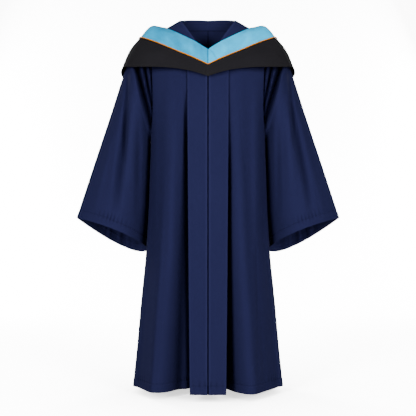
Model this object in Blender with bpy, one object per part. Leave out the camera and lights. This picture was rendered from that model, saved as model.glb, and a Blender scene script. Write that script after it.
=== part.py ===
"""A graduation gown with its hood, standing hollow and open as it does when it is worn.

The gown is cut in yokes, pleated fronts, backs and bell sleeves, with a facing inside the
back of the neck. The hood lies round the shoulders in a lining, a piping and a shell.
Z is 0 at the side of the neck, the front faces -Y, and the wearer's left is at +X.
A "drop" is a distance below the side of the neck, so z is minus the drop.
"""

import math

import bpy
import numpy as np

# Cloth and seams, in metres.
CLOTH = 0.0015
HOOD_CLOTH = 0.0020
FACING_CLOTH = 0.0012
FACING_INSET = 0.0022
SEAM = 0.0003
HALF_SEAM = SEAM / 2

# The gown's main sizes.
LENGTH = 1.165
NECK_HALF = 0.086
NECK_FRONT_DROP = 0.138
NECK_BACK_DROP = -0.006
SHOULDER_HALF = 0.195
SHOULDER_SLOPE = 0.596
SHOULDER_DROP = SHOULDER_SLOPE * (SHOULDER_HALF - NECK_HALF)
UNDERARM_DROP = 0.370
CHEST_DROP = 0.400
YOKE_FRONT_DROP = 0.155
YOKE_BACK_DROP = 0.165
FACING_DEPTH = 0.033
BACK_ROWS = 8

# How full the ring round the body is (2 is an ellipse), and how round the shoulder is.
ROUND = 2.15
DOME = 2.2

# The ring round the body: drop, half of its width, reach to the front and to the back.
BODY = {
    "drop": (-0.06, 0.05, 0.15, 0.25, 0.37, 0.50, 0.58, 0.74, 0.90, 1.06, 1.165),
    "wide": (0.250, 0.232, 0.213, 0.198, 0.183, 0.1855, 0.188, 0.1975, 0.2135, 0.228, 0.239),
    "front": (0.106, 0.113, 0.123, 0.131, 0.136, 0.140, 0.143, 0.151, 0.159, 0.166, 0.171),
    "back": (0.100, 0.110, 0.119, 0.123, 0.125, 0.128, 0.132, 0.143, 0.156, 0.169, 0.178),
}

# The armhole's edge: share of the way from shoulder tip to underarm, distance sideways.
ARMHOLE = {
    "share": (0.00, 0.25, 0.45, 0.65, 0.85, 1.00),
    "out": (0.195, 0.180, 0.173, 0.171, 0.177, 0.183),
}

# The centre band's half width, and the pleat that is folded in behind its edge.
BAND = {
    "drop": (0.155, 0.26, 0.40, 0.58, 0.80, 1.00, 1.165),
    "half": (0.0640, 0.0632, 0.0620, 0.0606, 0.0588, 0.0566, 0.0548),
}
PLEAT_TURN = 0.00125
PLEAT_TUCK = 0.024
PLEAT_OPENS = 0.24
FACETS_START = 0.48

# How far a front's hem stands out from the plain ring, by share of the half width: the
# deep fall beside the band, a bulge, a crease and a flatter side.
FRONT_HEM = {
    "share": (0.22, 0.28, 0.34, 0.43, 0.51, 0.60, 0.67, 0.74, 0.79, 0.85, 0.93, 1.00),
    "left": (-0.074, -0.072, -0.044, -0.011, 0.010, 0.017, 0.004, -0.012, -0.018, -0.026, -0.028, 0.0),
    "right": (-0.085, -0.088, -0.088, -0.064, -0.031, -0.006, 0.004, 0.009, -0.004, -0.017, -0.024, 0.0),
}

# Soft folds down a back: place as a share of the way round from the centre seam to the
# side seam, at the top and at the hem; half width as such a share; depth at the hem, in
# metres (out is positive); and the drop where the fold begins.
BACK_FOLDS = {
    "left": (
        {"top": 0.10, "hem": 0.08, "half": 0.10, "depth": -0.014, "from": 0.20},
        {"top": 0.28, "hem": 0.26, "half": 0.12, "depth": 0.016, "from": 0.20},
        {"top": 0.46, "hem": 0.47, "half": 0.11, "depth": -0.020, "from": 0.25},
        {"top": 0.64, "hem": 0.67, "half": 0.12, "depth": 0.014, "from": 0.35},
        {"top": 0.84, "hem": 0.85, "half": 0.10, "depth": -0.012, "from": 0.50},
    ),
    "right": (
        {"top": 0.12, "hem": 0.11, "half": 0.11, "depth": -0.018, "from": 0.20},
        {"top": 0.31, "hem": 0.31, "half": 0.11, "depth": 0.015, "from": 0.25},
        {"top": 0.49, "hem": 0.51, "half": 0.11, "depth": -0.016, "from": 0.20},
        {"top": 0.67, "hem": 0.69, "half": 0.11, "depth": 0.016, "from": 0.40},
        {"top": 0.85, "hem": 0.87, "half": 0.09, "depth": -0.010, "from": 0.50},
    ),
}

# The sleeve at shares of its length: its over-arm line and its underarm line (distance
# sideways and drop), how far it stands to the front and to the back between them, how far
# the front edge is pulled up and the back edge hangs down, and how far the underarm line
# falls behind the side of the body.
SLEEVE = {
    "share": (0.00, 0.06, 0.14, 0.24, 0.45, 0.70, 1.00),
    "over_out": (0.1975, 0.222, 0.2470, 0.2680, 0.3085, 0.3595, 0.4200),
    "over_drop": (0.0655, 0.080, 0.1120, 0.1700, 0.2950, 0.4480, 0.6320),
    "under_out": (0.1885, 0.1865, 0.1840, 0.1830, 0.1820, 0.1845, 0.1945),
    "under_drop": (0.3720, 0.3860, 0.4050, 0.4300, 0.5000, 0.6050, 0.7320),
    "front": (0.066, 0.076, 0.085, 0.092, 0.096, 0.098, 0.099),
    "back": (0.066, 0.073, 0.078, 0.082, 0.087, 0.092, 0.096),
    "raise": (0.000, 0.000, 0.002, 0.005, 0.010, 0.016, 0.023),
    "hang": (0.000, 0.000, 0.002, 0.006, 0.014, 0.023, 0.034),
    "behind": (0.000, 0.018, 0.035, 0.048, 0.060, 0.064, 0.062),
}
SLEEVE_LEAVES_ARMHOLE = 0.14
ARMHOLE_GAP = 0.0009

# Folds down a sleeve: the side of the arm, the ends of its line (distance sideways and
# drop), half of its width and its depth midway (out is positive).
SLEEVE_FOLDS = {
    "left": (
        {"face": "front", "top": (0.238, 0.125), "foot": (0.188, 0.325), "half": 0.013, "depth": -0.013},
        {"face": "front", "top": (0.200, 0.150), "foot": (0.177, 0.290), "half": 0.010, "depth": -0.008},
        {"face": "front", "top": (0.249, 0.130), "foot": (0.268, 0.320), "half": 0.013, "depth": -0.009},
        {"face": "front", "top": (0.262, 0.260), "foot": (0.330, 0.640), "half": 0.020, "depth": -0.011},
        {"face": "front", "top": (0.250, 0.240), "foot": (0.262, 0.560), "half": 0.026, "depth": 0.008},
        {"face": "back", "top": (0.236, 0.130), "foot": (0.190, 0.330), "half": 0.014, "depth": -0.012},
        {"face": "back", "top": (0.258, 0.170), "foot": (0.292, 0.520), "half": 0.018, "depth": -0.010},
        {"face": "back", "top": (0.240, 0.240), "foot": (0.236, 0.620), "half": 0.028, "depth": 0.009},
        {"face": "back", "top": (0.225, 0.400), "foot": (0.262, 0.720), "half": 0.022, "depth": -0.010},
    ),
    "right": (
        {"face": "front", "top": (0.234, 0.125), "foot": (0.185, 0.340), "half": 0.013, "depth": -0.014},
        {"face": "front", "top": (0.194, 0.150), "foot": (0.178, 0.330), "half": 0.010, "depth": -0.008},
        {"face": "front", "top": (0.253, 0.130), "foot": (0.262, 0.440), "half": 0.013, "depth": -0.010},
        {"face": "front", "top": (0.259, 0.280), "foot": (0.292, 0.650), "half": 0.020, "depth": -0.012},
        {"face": "front", "top": (0.238, 0.240), "foot": (0.241, 0.540), "half": 0.026, "depth": 0.008},
        {"face": "back", "top": (0.232, 0.130), "foot": (0.192, 0.350), "half": 0.014, "depth": -0.013},
        {"face": "back", "top": (0.256, 0.180), "foot": (0.300, 0.560), "half": 0.018, "depth": -0.010},
        {"face": "back", "top": (0.236, 0.260), "foot": (0.246, 0.600), "half": 0.028, "depth": 0.009},
        {"face": "back", "top": (0.220, 0.380), "foot": (0.250, 0.700), "half": 0.022, "depth": -0.010},
    ),
}

# The hood by the angle round the neck, 0 at the front: radius and drop of its upper edge,
# of the ridge where the lining rolls over, of the piped seam, of the middle of the shell
# and of its lower edge.
HOOD = {
    "angle": (0, 20, 45, 70, 80, 90, 110, 135, 160, 180),
    "upper_out": (0.106, 0.103, 0.110, 0.133, 0.1375, 0.137, 0.133, 0.122, 0.116, 0.114),
    "upper_drop": (0.107, 0.086, 0.063, 0.038, 0.0305, 0.0278, 0.036, 0.074, 0.122, 0.142),
    "ridge_out": (0.117, 0.118, 0.135, 0.170, 0.180, 0.183, 0.174, 0.147, 0.133, 0.130),
    "ridge_drop": (0.128, 0.108, 0.081, 0.042, 0.028, 0.0195, 0.032, 0.092, 0.172, 0.212),
    "seam_out": (0.126, 0.130, 0.146, 0.184, 0.211, 0.2185, 0.209, 0.172, 0.150, 0.143),
    "seam_drop": (0.157, 0.138, 0.111, 0.077, 0.062, 0.0590, 0.079, 0.155, 0.262, 0.325),
    "middle_out": (0.1335, 0.139, 0.163, 0.227, 0.244, 0.2510, 0.243, 0.194, 0.161, 0.151),
    "middle_drop": (0.176, 0.159, 0.138, 0.110, 0.102, 0.1000, 0.132, 0.220, 0.342, 0.410),
    "lower_out": (0.139, 0.146, 0.171, 0.247, 0.269, 0.2785, 0.267, 0.212, 0.169, 0.157),
    "lower_drop": (0.196, 0.181, 0.168, 0.161, 0.156, 0.1670, 0.203, 0.290, 0.422, 0.495),
}
HOOD_LINES = {
    "name": ("upper", "ridge", "seam", "middle", "lower"),
    "share": (0.0, 0.27, 0.50, 0.74, 1.0),
}
HOOD_SEAM_SHARE = 0.5
HOOD_SEAM_GAP = 0.007
PIPING_RADIUS = 0.0013

# Colours as the eye sees them under plain light, roughness.
NAVY = (0.016, 0.026, 0.085, 1.0)
SKY_BLUE = (0.060, 0.560, 0.930, 1.0)
BLACK = (0.018, 0.018, 0.020, 1.0)
ORANGE = (0.720, 0.190, 0.020, 1.0)


def curve(table, column, key, at):
    """A smooth line through a table's column, read at `at` along the key column.

    Between two rows it is a cubic whose slopes are the central differences there.
    """
    knots = np.asarray(table[key], float)
    values = np.asarray(table[column], float)
    slopes = np.gradient(values, knots)
    at = np.clip(np.asarray(at, float), knots[0], knots[-1])
    left = np.clip(np.searchsorted(knots, at, side="right") - 1, 0, len(knots) - 2)
    step = knots[left + 1] - knots[left]
    part = (at - knots[left]) / step
    start = (1 + 2 * part) * (1 - part) ** 2 * values[left]
    leaving = part * (1 - part) ** 2 * step * slopes[left]
    arriving = part**2 * (part - 1) * step * slopes[left + 1]
    end = part**2 * (3 - 2 * part) * values[left + 1]
    return start + leaving + arriving + end


def ease(low, high, at):
    """0 below low, 1 above high, and a smooth S between them."""
    part = np.clip((np.asarray(at, float) - low) / (high - low), 0.0, 1.0)
    return part * part * (3 - 2 * part)


def shoulder(out):
    """Drop of the shoulder seam at a distance sideways."""
    return SHOULDER_SLOPE * (out - NECK_HALF)


def body_size(column, drop):
    """One of the body ring's sizes at a drop."""
    return curve(BODY, column, "drop", drop)


def dome_angle(out, drop):
    """How far round the shoulder a point lies: 0 on the shoulder seam, a quarter turn at the chest."""
    rise = (CHEST_DROP - drop) / (CHEST_DROP - shoulder(out))
    return np.arccos(np.clip(rise, 0.0, 1.0) ** (DOME / 2))


def dome_drop(out, angle):
    """The drop at that angle round the shoulder."""
    rise = np.cos(angle) ** (2 / DOME)
    return CHEST_DROP - rise * (CHEST_DROP - shoulder(out))


def body_depth(out, drop, face):
    """How far the cloth stands from the shoulder seam's plane: an oval ring that domes over to nothing at the shoulder."""
    share = np.clip(out / body_size("wide", drop), 0.0, 1.0)
    ring = (1 - share**ROUND) ** (1 / ROUND)
    return body_size(face, drop) * ring * np.sin(dome_angle(out, drop))


def armhole_drop(share):
    """Drop of the armhole's edge, from 0 at the shoulder tip to 1 at the underarm."""
    return SHOULDER_DROP + (UNDERARM_DROP - SHOULDER_DROP) * (1 - np.cos(math.pi * share)) / 2


def armhole_share(drop):
    """Where on the armhole's edge a drop lies."""
    part = (drop - SHOULDER_DROP) / (UNDERARM_DROP - SHOULDER_DROP)
    return np.arccos(np.clip(1 - 2 * part, -1.0, 1.0)) / math.pi


def armhole_out(share):
    """Distance sideways of the armhole's edge."""
    return curve(ARMHOLE, "out", "share", share)


def faced(face):
    """-1 for the front, which faces -Y, and 1 for the back."""
    return -1.0 if face == "front" else 1.0


def points_of(out, depth, drop, face):
    """Points from distance sideways, depth and drop, on the wearer's left."""
    out, depth, drop = np.broadcast_arrays(out, depth, drop)
    return np.stack([out, faced(face) * depth, -drop], axis=-1)


def yoke_rows(face, seam_drop, neck_drop, below, shares):
    """Rows of a yoke's half from its lower seam up to the shoulder seam.

    Each row runs from the neck's edge, or the centre line below it, out to the armhole. A
    row keeps the same share of the way round the shoulder all along its length.
    """
    tries = np.linspace(0.0, armhole_share(seam_drop), 200)
    edge_out = armhole_out(tries)
    edge_rise = 1 - dome_angle(edge_out, armhole_drop(tries)) / dome_angle(edge_out, seam_drop)
    centre_rise = 1 - dome_angle(0.0, neck_drop) / dome_angle(0.0, seam_drop)
    below_neck = [(0.0, part * centre_rise) for part in np.arange(below) / below]
    along_neck = []
    for share in shares:
        out = NECK_HALF * (1 - share)
        drop = neck_drop * share
        along_neck.append((out, 1 - dome_angle(out, drop) / dome_angle(out, seam_drop)))
    rows = []
    for inner, rise in below_neck + along_neck:
        outer = np.interp(rise, edge_rise[::-1], edge_out[::-1])
        out = np.linspace(inner, outer, 9)
        angle = (1 - rise) * dome_angle(out, seam_drop)
        drop = dome_drop(out, angle)
        rows.append(points_of(out, body_depth(out, drop, face), drop, face))
    return rows


def yoke_surface():
    """The left yoke: front rows up to the shoulder seam, then back rows down from it."""
    front = yoke_rows("front", YOKE_FRONT_DROP, NECK_FRONT_DROP, 2, (1.0, 0.8, 0.6, 0.4, 0.2, 0.0))
    back = yoke_rows("back", YOKE_BACK_DROP, NECK_BACK_DROP, BACK_ROWS, (1.0, 0.6, 0.25))
    points = np.array(front + back[::-1])
    points[..., 0] = np.maximum(points[..., 0], HALF_SEAM)
    return points


def ring_angle(out, drop):
    """Where round the body's ring a distance sideways lies, in radians from the centre."""
    share = np.clip(out / body_size("wide", drop), 0.0, 1.0)
    return np.arcsin(share ** (ROUND / 2))


def fold_lift(folds, share, drop):
    """Sum of a panel's soft folds: each a raised cosine across, growing from its start to the hem."""
    lift = np.zeros(np.broadcast(share, drop).shape)
    for fold in folds:
        down = np.clip((drop - fold["from"]) / (LENGTH - fold["from"]), 0.0, 1.0)
        place = fold["top"] + (fold["hem"] - fold["top"]) * drop / LENGTH
        away = np.clip(np.abs(share - place) / fold["half"], 0.0, 1.0)
        lift += fold["depth"] * down**0.8 * (1 + np.cos(math.pi * away)) / 2
    return lift


def panel_drops(seam_drop):
    """Drops of a panel's rows: close together round the armhole's foot, then even to the hem."""
    shares = np.linspace(armhole_share(seam_drop + SEAM), 1.0, 7)
    upper = armhole_drop(shares)
    lower = np.linspace(UNDERARM_DROP, LENGTH, 10)[1:]
    return np.concatenate([[seam_drop + SEAM], upper[1:], lower])


def outer_angle(drop):
    """The ring angle of a panel's outer edge: the armhole above the underarm, the side seam below it."""
    edge = ring_angle(armhole_out(armhole_share(drop)), drop)
    return np.where(drop < UNDERARM_DROP - 1e-6, edge, math.pi / 2)


def back_surface(side):
    """A back panel from the centre seam to the armhole and the side seam."""
    drop = panel_drops(YOKE_BACK_DROP)[:, None]
    share = np.linspace(0.0, 1.0, 19)[None, :]
    out = body_size("wide", drop) * np.sin(share * outer_angle(drop)) ** (2 / ROUND)
    edge_free = ease(0.0, 0.06, share) * ease(0.0, 0.08, 1 - share)
    depth = body_depth(out, drop, "back") + fold_lift(BACK_FOLDS[side], share, drop) * edge_free
    points = points_of(out, depth, drop, "back")
    points[:, 0, 0] = HALF_SEAM
    points[:, -1, 1] = np.maximum(points[:, -1, 1], HALF_SEAM)
    return points


def front_lift(side, share, drop):
    """How far a front stands out from the plain ring: nothing at the top, the hem's own shape at the hem.

    The fall beside the band opens high up, and the facets nearer the side seam lower down.
    """
    start = PLEAT_OPENS + (FACETS_START - PLEAT_OPENS) * ease(0.45, 0.65, share)
    down = np.clip((drop - start) / (LENGTH - start), 0.0, 1.0)
    return curve(FRONT_HEM, side, "share", share) * down**0.8


def pleat_section(band, fall):
    """The turned part of a front, as distances sideways and depths behind the band's face.

    The cloth runs out along the band's face, turns back round the band's edge, runs in
    behind it, turns again and comes out to where the panel starts.
    """
    turn = PLEAT_TURN
    face = [(out, 0.0) for out in np.linspace(HALF_SEAM, band - turn, 4)]
    edge = [(band - turn + turn * math.sin(a), turn - turn * math.cos(a)) for a in (0.9, 1.7, 2.5)]
    inner = band - PLEAT_TUCK
    back = 2 * turn + fall
    behind = [(band - 3 * turn, 2 * turn + 0.1 * fall), (inner + turn, back)]
    tuck = [(inner + turn - turn * math.sin(a), back + turn - turn * math.cos(a)) for a in (0.8, 1.6, 2.4)]
    outward = [(inner + 2 * turn, back + 2 * turn), (band - turn, back + 2 * turn)]
    return np.array(face + edge + behind + tuck + outward)


def front_surface(side):
    """A front panel: the centre band, its pleat, and the panel out to the armhole and the side seam."""
    rows = []
    for drop in panel_drops(YOKE_FRONT_DROP):
        wide = float(body_size("wide", drop))
        band = float(curve(BAND, "half", "drop", drop))
        fall = -float(front_lift(side, band / wide, drop))
        out, behind = pleat_section(band, fall).T
        pleat = points_of(out, body_depth(out, drop, "front") - behind, drop, "front")
        share = np.linspace(0.0, 1.0, 20)[1:]
        start = ring_angle(out[-1], drop)
        angle = start + (outer_angle(drop) - start) * share
        panel_out = wide * np.sin(angle) ** (2 / ROUND)
        depth = body_depth(panel_out, drop, "front")
        depth -= 4 * PLEAT_TURN * (1 - ease(0.0, 0.025, panel_out - out[-1]))
        depth += front_lift(side, panel_out / wide, drop) * ease(0.0, 0.04, 1 - share)
        rows.append(np.concatenate([pleat, points_of(panel_out, depth, drop, "front")]))
    points = np.array(rows)
    points[:, -1, 1] = np.minimum(points[:, -1, 1], -HALF_SEAM)
    return points


def sleeve_folds(folds, face, out, drop):
    """Sum of a sleeve's folds: each a raised cosine across its line, fading in and out along it."""
    lift = np.zeros(out.shape)
    for fold in folds:
        if fold["face"] != face:
            continue
        top, foot = np.array(fold["top"]), np.array(fold["foot"])
        length = np.linalg.norm(foot - top)
        along = (foot - top) / length
        run = (out - top[0]) * along[0] + (drop - top[1]) * along[1]
        away = (out - top[0]) * along[1] - (drop - top[1]) * along[0]
        across = np.clip(np.abs(away) / fold["half"], 0.0, 1.0)
        fade = np.sin(math.pi * np.clip(run / length, 0.0, 1.0)) ** 0.7
        lift += fold["depth"] * fade * (1 + np.cos(math.pi * across)) / 2
    return lift


def sleeve_half(side, face, along, turn):
    """The front or back of a sleeve, at shares of its length and of the turn under the arm.

    Between the over-arm line, where it is creased, and the underarm line, where it is
    round, it bulges by a power curve that is 1 at its fullest. It leaves the armhole's own
    edge smoothly.
    """
    size = {name: curve(SLEEVE, name, "share", along) for name in SLEEVE if name != "share"}
    across = (1 - np.cos(math.pi * turn)) / 2
    creased = 1.0 - 0.45 * (1 - ease(0.0, 0.35, along))
    round_end = 0.55
    fullest = creased / (creased + round_end)
    peak = fullest**creased * (1 - fullest) ** round_end
    bulge = across**creased * (1 - across) ** round_end / peak
    out = size["over_out"] + (size["under_out"] - size["over_out"]) * across
    drop = size["over_drop"] + (size["under_drop"] - size["over_drop"]) * across
    drop = drop + (size["hang"] if face == "back" else -size["raise"]) * bulge
    depth = size[face] * bulge
    depth += sleeve_folds(SLEEVE_FOLDS[side], face, out, drop) * np.minimum(1.0, 2 * bulge)
    behind = size["behind"] * across**2
    hanging = points_of(out, depth + (behind if face == "back" else -behind), drop, face)
    edge_out, edge_drop = armhole_out(turn), armhole_drop(turn)
    edge_depth = body_depth(edge_out, edge_drop, face)
    sewn_out = edge_out + ARMHOLE_GAP + CLOTH * turn**3
    sewn = points_of(sewn_out, edge_depth, edge_drop, face)
    leaving = ease(0.0, SLEEVE_LEAVES_ARMHOLE, along)[..., None]
    return sewn * (1 - leaving) + hanging * leaving


def sleeve_surface(side):
    """A sleeve as rings from the armhole to the cuff, each a closed round of points."""
    along = np.array(
        (0.0, 0.02, 0.045, 0.07, 0.095, 0.12, 0.15, 0.19, 0.25, 0.32, 0.42, 0.54, 0.66, 0.78, 0.89, 1.0)
    )[:, None]
    turn = np.linspace(0.0, 1.0, 19)[None, :]
    front = sleeve_half(side, "front", along, turn)
    back = sleeve_half(side, "back", along, turn)
    return np.concatenate([front, back[:, -2:0:-1]], axis=1)


def hood_surface(shares, degrees):
    """The left half of the hood, at shares of the way from its upper to its lower edge and angles round the neck.

    Each section is a smooth line through the five lines of the hood's table.
    """
    turn = np.radians(degrees)
    lines = []
    for name in HOOD_LINES["name"]:
        radius = curve(HOOD, name + "_out", "angle", degrees)
        drop = curve(HOOD, name + "_drop", "angle", degrees)
        lines.append(np.stack([radius * np.sin(turn), -radius * np.cos(turn), -drop], axis=-1))
    lines = np.array(lines).reshape(len(lines), -1)
    columns = []
    for values in lines.T:
        table = {"share": HOOD_LINES["share"], "value": values}
        columns.append(curve(table, "value", "share", shares))
    points = np.array(columns).T.reshape(len(shares), len(degrees), 3)
    points[..., 0] = np.maximum(points[..., 0], HALF_SEAM)
    return points


def facing_surface():
    """The facing inside the back of the neck, made from the yoke's points moved in."""
    across = np.linspace(-1.0, 1.0, 15)[None, :]
    down = np.linspace(0.0, 1.0, 4)[:, None]
    out = np.abs(across) * (NECK_HALF - 0.008) + 0.0 * down
    edge = NECK_BACK_DROP * (1 - np.abs(across)) + 0.014 * np.abs(across) ** 3
    drop = edge + FACING_DEPTH * down
    points = points_of(out, body_depth(out, drop, "back"), drop, "back")
    points[..., 0] *= np.sign(across)
    return points - normals_of(points) * FACING_INSET


def normals_of(points, closed=False):
    """Unit normals of a grid of points: across the rows crossed with down the columns."""
    if closed:
        wrapped = np.concatenate([points[:, -1:], points, points[:, :1]], axis=1)
        across = np.gradient(wrapped, axis=1)[:, 1:-1]
    else:
        across = np.gradient(points, axis=1)
    normal = np.cross(across, np.gradient(points, axis=0))
    return normal / np.linalg.norm(normal, axis=-1, keepdims=True)


def squared(normal, edge, axis):
    """Normals turned, along one edge of the grid, to lie square to an axis, so that two pieces meet there."""
    turned = normal[edge]
    turned[..., axis] = 0.0
    normal[edge] = turned / np.linalg.norm(turned, axis=-1, keepdims=True)


def grid_faces(rows, columns, closed):
    """Quads of a grid of points, which closes on itself sideways for a tube."""
    faces = []
    for row in range(rows - 1):
        for column in range(columns if closed else columns - 1):
            beside = (column + 1) % columns
            first, second = row * columns, (row + 1) * columns
            faces.append((first + column, first + beside, second + beside, second + column))
    return faces


def rim_loops(rows, columns, closed):
    """The grid's free edges as loops of point numbers, in the order its quads run round them."""
    top = list(range(columns))
    bottom = [(rows - 1) * columns + column for column in reversed(range(columns))]
    if closed:
        return [top, bottom]
    right = [row * columns + columns - 1 for row in range(1, rows - 1)]
    left = [row * columns for row in reversed(range(1, rows - 1))]
    return [top + right + bottom + left]


def cloth(name, points, material, thickness, square=(), closed=False, mirrored=False):
    """One piece of cloth: a wall of even thickness about the grid of points.

    `square` names edges of the grid, as numpy places, with the axis their ends lie square to.
    """
    normal = normals_of(points, closed)
    for edge, axis in square:
        squared(normal, edge, axis)
    rows, columns = points.shape[:2]
    count = rows * columns
    sides = [points + normal * thickness / 2, points - normal * thickness / 2]
    vertices = np.concatenate([side.reshape(-1, 3) for side in sides])
    faces = grid_faces(rows, columns, closed)
    faces += [tuple(corner + count for corner in reversed(face)) for face in faces]
    for loop in rim_loops(rows, columns, closed):
        for first, second in zip(loop, loop[1:] + loop[:1]):
            faces.append((second, first, first + count, second + count))
    mesh = bpy.data.meshes.new(name)
    mesh.from_pydata((vertices * (-1.0 if mirrored else 1.0, 1.0, 1.0)).tolist(), [], faces)
    if mirrored:
        mesh.flip_normals()
    mesh.shade_smooth()
    mesh.materials.append(material)
    bpy.context.collection.objects.link(bpy.data.objects.new(name, mesh))


def material(name, colour, roughness):
    """A plain cloth finish."""
    made = bpy.data.materials.new(name)
    made.use_nodes = True
    shader = made.node_tree.nodes["Principled BSDF"]
    shader.inputs["Base Color"].default_value = colour
    shader.inputs["Roughness"].default_value = roughness
    shader.inputs["Metallic"].default_value = 0.0
    return made


def piping(finish):
    """The hood's piping: a cord sewn along the seam from the front point round the back to it again."""
    degrees = np.linspace(0.0, 180.0, 25)
    shares = np.array((HOOD_SEAM_SHARE - 0.02, HOOD_SEAM_SHARE, HOOD_SEAM_SHARE + 0.02))
    around = hood_surface(shares, degrees)
    normal = normals_of(around)[1]
    normal[[0, -1], 0] = 0.0
    normal *= np.where(normal[:, 2:] < 0, -1.0, 1.0) / np.linalg.norm(normal, axis=-1, keepdims=True)
    left = around[1] + normal * (PIPING_RADIUS + HOOD_CLOTH / 2 + SEAM)
    left[-1, 0] = 0.0
    left[0, 0] = PIPING_RADIUS
    right = left[::-1] * (-1.0, 1.0, 1.0)
    whole = np.concatenate([left, right[1:]])
    data = bpy.data.curves.new("hood_piping", "CURVE")
    data.dimensions = "3D"
    data.bevel_depth = PIPING_RADIUS
    data.bevel_resolution = 1
    data.use_fill_caps = True
    spline = data.splines.new("POLY")
    spline.points.add(len(whole) - 1)
    for point, place in zip(spline.points, whole):
        point.co = (*place, 1.0)
    data.materials.append(finish)
    bpy.context.collection.objects.link(bpy.data.objects.new("hood_piping", data))


def clear_scene():
    """Removes whatever the opened file holds."""
    for item in list(bpy.data.objects):
        bpy.data.objects.remove(item, do_unlink=True)


def build_gown(navy):
    """Yokes, fronts, backs, sleeves and the neck facing."""
    top, bottom = np.s_[0, :], np.s_[-1, :]
    centre, outer = np.s_[:, 0], np.s_[:, -1]
    below_armhole = np.s_[6:, -1]
    yoke_ends = ((top, 2), (bottom, 2), (np.s_[:3, 0], 0), (np.s_[-BACK_ROWS - 1 :, 0], 0))
    for side, mirrored in (("left", False), ("right", True)):
        yoke = yoke_surface()
        cloth("yoke_" + side, yoke, navy, CLOTH, yoke_ends, mirrored=mirrored)
        panel = ((top, 2), (centre, 0), (below_armhole, 1))
        cloth("front_" + side, front_surface(side), navy, CLOTH, panel, mirrored=mirrored)
        cloth("back_" + side, back_surface(side), navy, CLOTH, panel, mirrored=mirrored)
        cloth("sleeve_" + side, sleeve_surface(side), navy, CLOTH, closed=True, mirrored=mirrored)
    cloth("neck_facing", facing_surface(), navy, FACING_CLOTH)


def build_hood(sky_blue, black, orange):
    """Lining, shell and piping, parted at the front and back seams."""
    degrees = np.linspace(0.0, 180.0, 25)
    seam = HOOD_SEAM_SHARE
    lining = hood_surface(np.linspace(0.0, seam - HOOD_SEAM_GAP, 6), degrees)
    shell = hood_surface(np.linspace(seam + HOOD_SEAM_GAP, 1.0, 6), degrees)
    ends = ((np.s_[:, 0], 0), (np.s_[:, -1], 0))
    for side, mirrored in (("left", False), ("right", True)):
        cloth("hood_lining_" + side, lining, sky_blue, HOOD_CLOTH, ends, mirrored=mirrored)
        cloth("hood_shell_" + side, shell, black, HOOD_CLOTH, ends, mirrored=mirrored)
    piping(orange)


def main():
    clear_scene()
    build_gown(material("navy_cloth", NAVY, 0.8))
    build_hood(
        material("sky_blue_satin", SKY_BLUE, 0.4),
        material("black_cloth", BLACK, 0.85),
        material("orange_cord", ORANGE, 0.6),
    )


main()
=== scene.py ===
"""A graduation gown with its hood, standing hollow as it does when worn, in a plain pale studio.

Sizes are in metres. Z is 0 at the side of the neck, the front faces -Y and the wearer's
left is at +X. A "drop" is a distance below the side of the neck.
"""

import math

import bpy
import numpy as np
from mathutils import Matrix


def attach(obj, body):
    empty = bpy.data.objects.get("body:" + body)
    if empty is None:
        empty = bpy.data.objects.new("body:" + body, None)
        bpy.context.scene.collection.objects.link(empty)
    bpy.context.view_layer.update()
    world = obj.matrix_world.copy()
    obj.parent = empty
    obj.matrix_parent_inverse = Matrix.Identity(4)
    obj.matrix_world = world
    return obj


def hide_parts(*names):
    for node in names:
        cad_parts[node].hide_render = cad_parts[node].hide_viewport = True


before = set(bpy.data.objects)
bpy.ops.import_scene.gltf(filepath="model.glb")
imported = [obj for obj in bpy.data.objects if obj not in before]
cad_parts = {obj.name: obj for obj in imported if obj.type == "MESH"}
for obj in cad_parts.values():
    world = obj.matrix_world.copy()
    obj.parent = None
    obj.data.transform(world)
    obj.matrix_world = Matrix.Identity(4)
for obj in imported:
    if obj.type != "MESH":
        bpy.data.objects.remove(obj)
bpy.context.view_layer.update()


# The studio: a camera level with the middle of the gown, three metres in front of it, and
# a pale floor that curves up into the wall behind it.

camera_data = bpy.data.cameras.new("camera")
camera_data.lens = 81.13
camera_data.sensor_width = 36.0
camera = bpy.data.objects.new("camera", camera_data)
camera.location = (0.0, -3.0, -0.600)
camera.rotation_euler = (math.radians(90.0), 0.0, 0.0)
bpy.context.collection.objects.link(camera)
bpy.context.scene.camera = camera


def studio_sweep(floor_height, depth, wall_start, bend, wall_top, half_width):
    """The backdrop's profile carried sideways: flat floor, a quarter circle of radius `bend`, then wall."""
    turn = np.linspace(0.0, math.pi / 2, 24)
    floor = np.array([(-depth, floor_height), (0.0, floor_height)])
    forward, upward = wall_start + bend * np.sin(turn), floor_height + bend * (1 - np.cos(turn))
    curve_up = np.stack([forward, upward], axis=-1)
    wall = np.array([(wall_start + bend, wall_top)])
    profile = np.concatenate([floor, curve_up, wall])
    across = np.linspace(-half_width, half_width, 5)
    out, run = np.meshgrid(across, np.arange(len(profile)), indexing="xy")
    return np.stack([out, profile[run, 0], profile[run, 1]], axis=-1)


def plain_grid(name, points):
    """One sheet of quads through a grid of points, shaded smooth."""
    rows, columns = points.shape[:2]
    first = (np.arange(rows - 1)[:, None] * columns + np.arange(columns - 1)[None, :]).ravel()
    quads = np.stack([first, first + 1, first + columns + 1, first + columns], axis=-1)
    mesh = bpy.data.meshes.new(name)
    mesh.from_pydata(points.reshape(-1, 3), [], quads)
    mesh.shade_smooth()
    made = bpy.data.objects.new(name, mesh)
    bpy.context.collection.objects.link(made)
    return made


# The camera sees the paper glowing nearly white over its real shading, with a painted
# shadow from ambient occlusion close to the gown. Other rays meet a plain grey, so that
# the paper doesn't flood the cloth with light.

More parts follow.
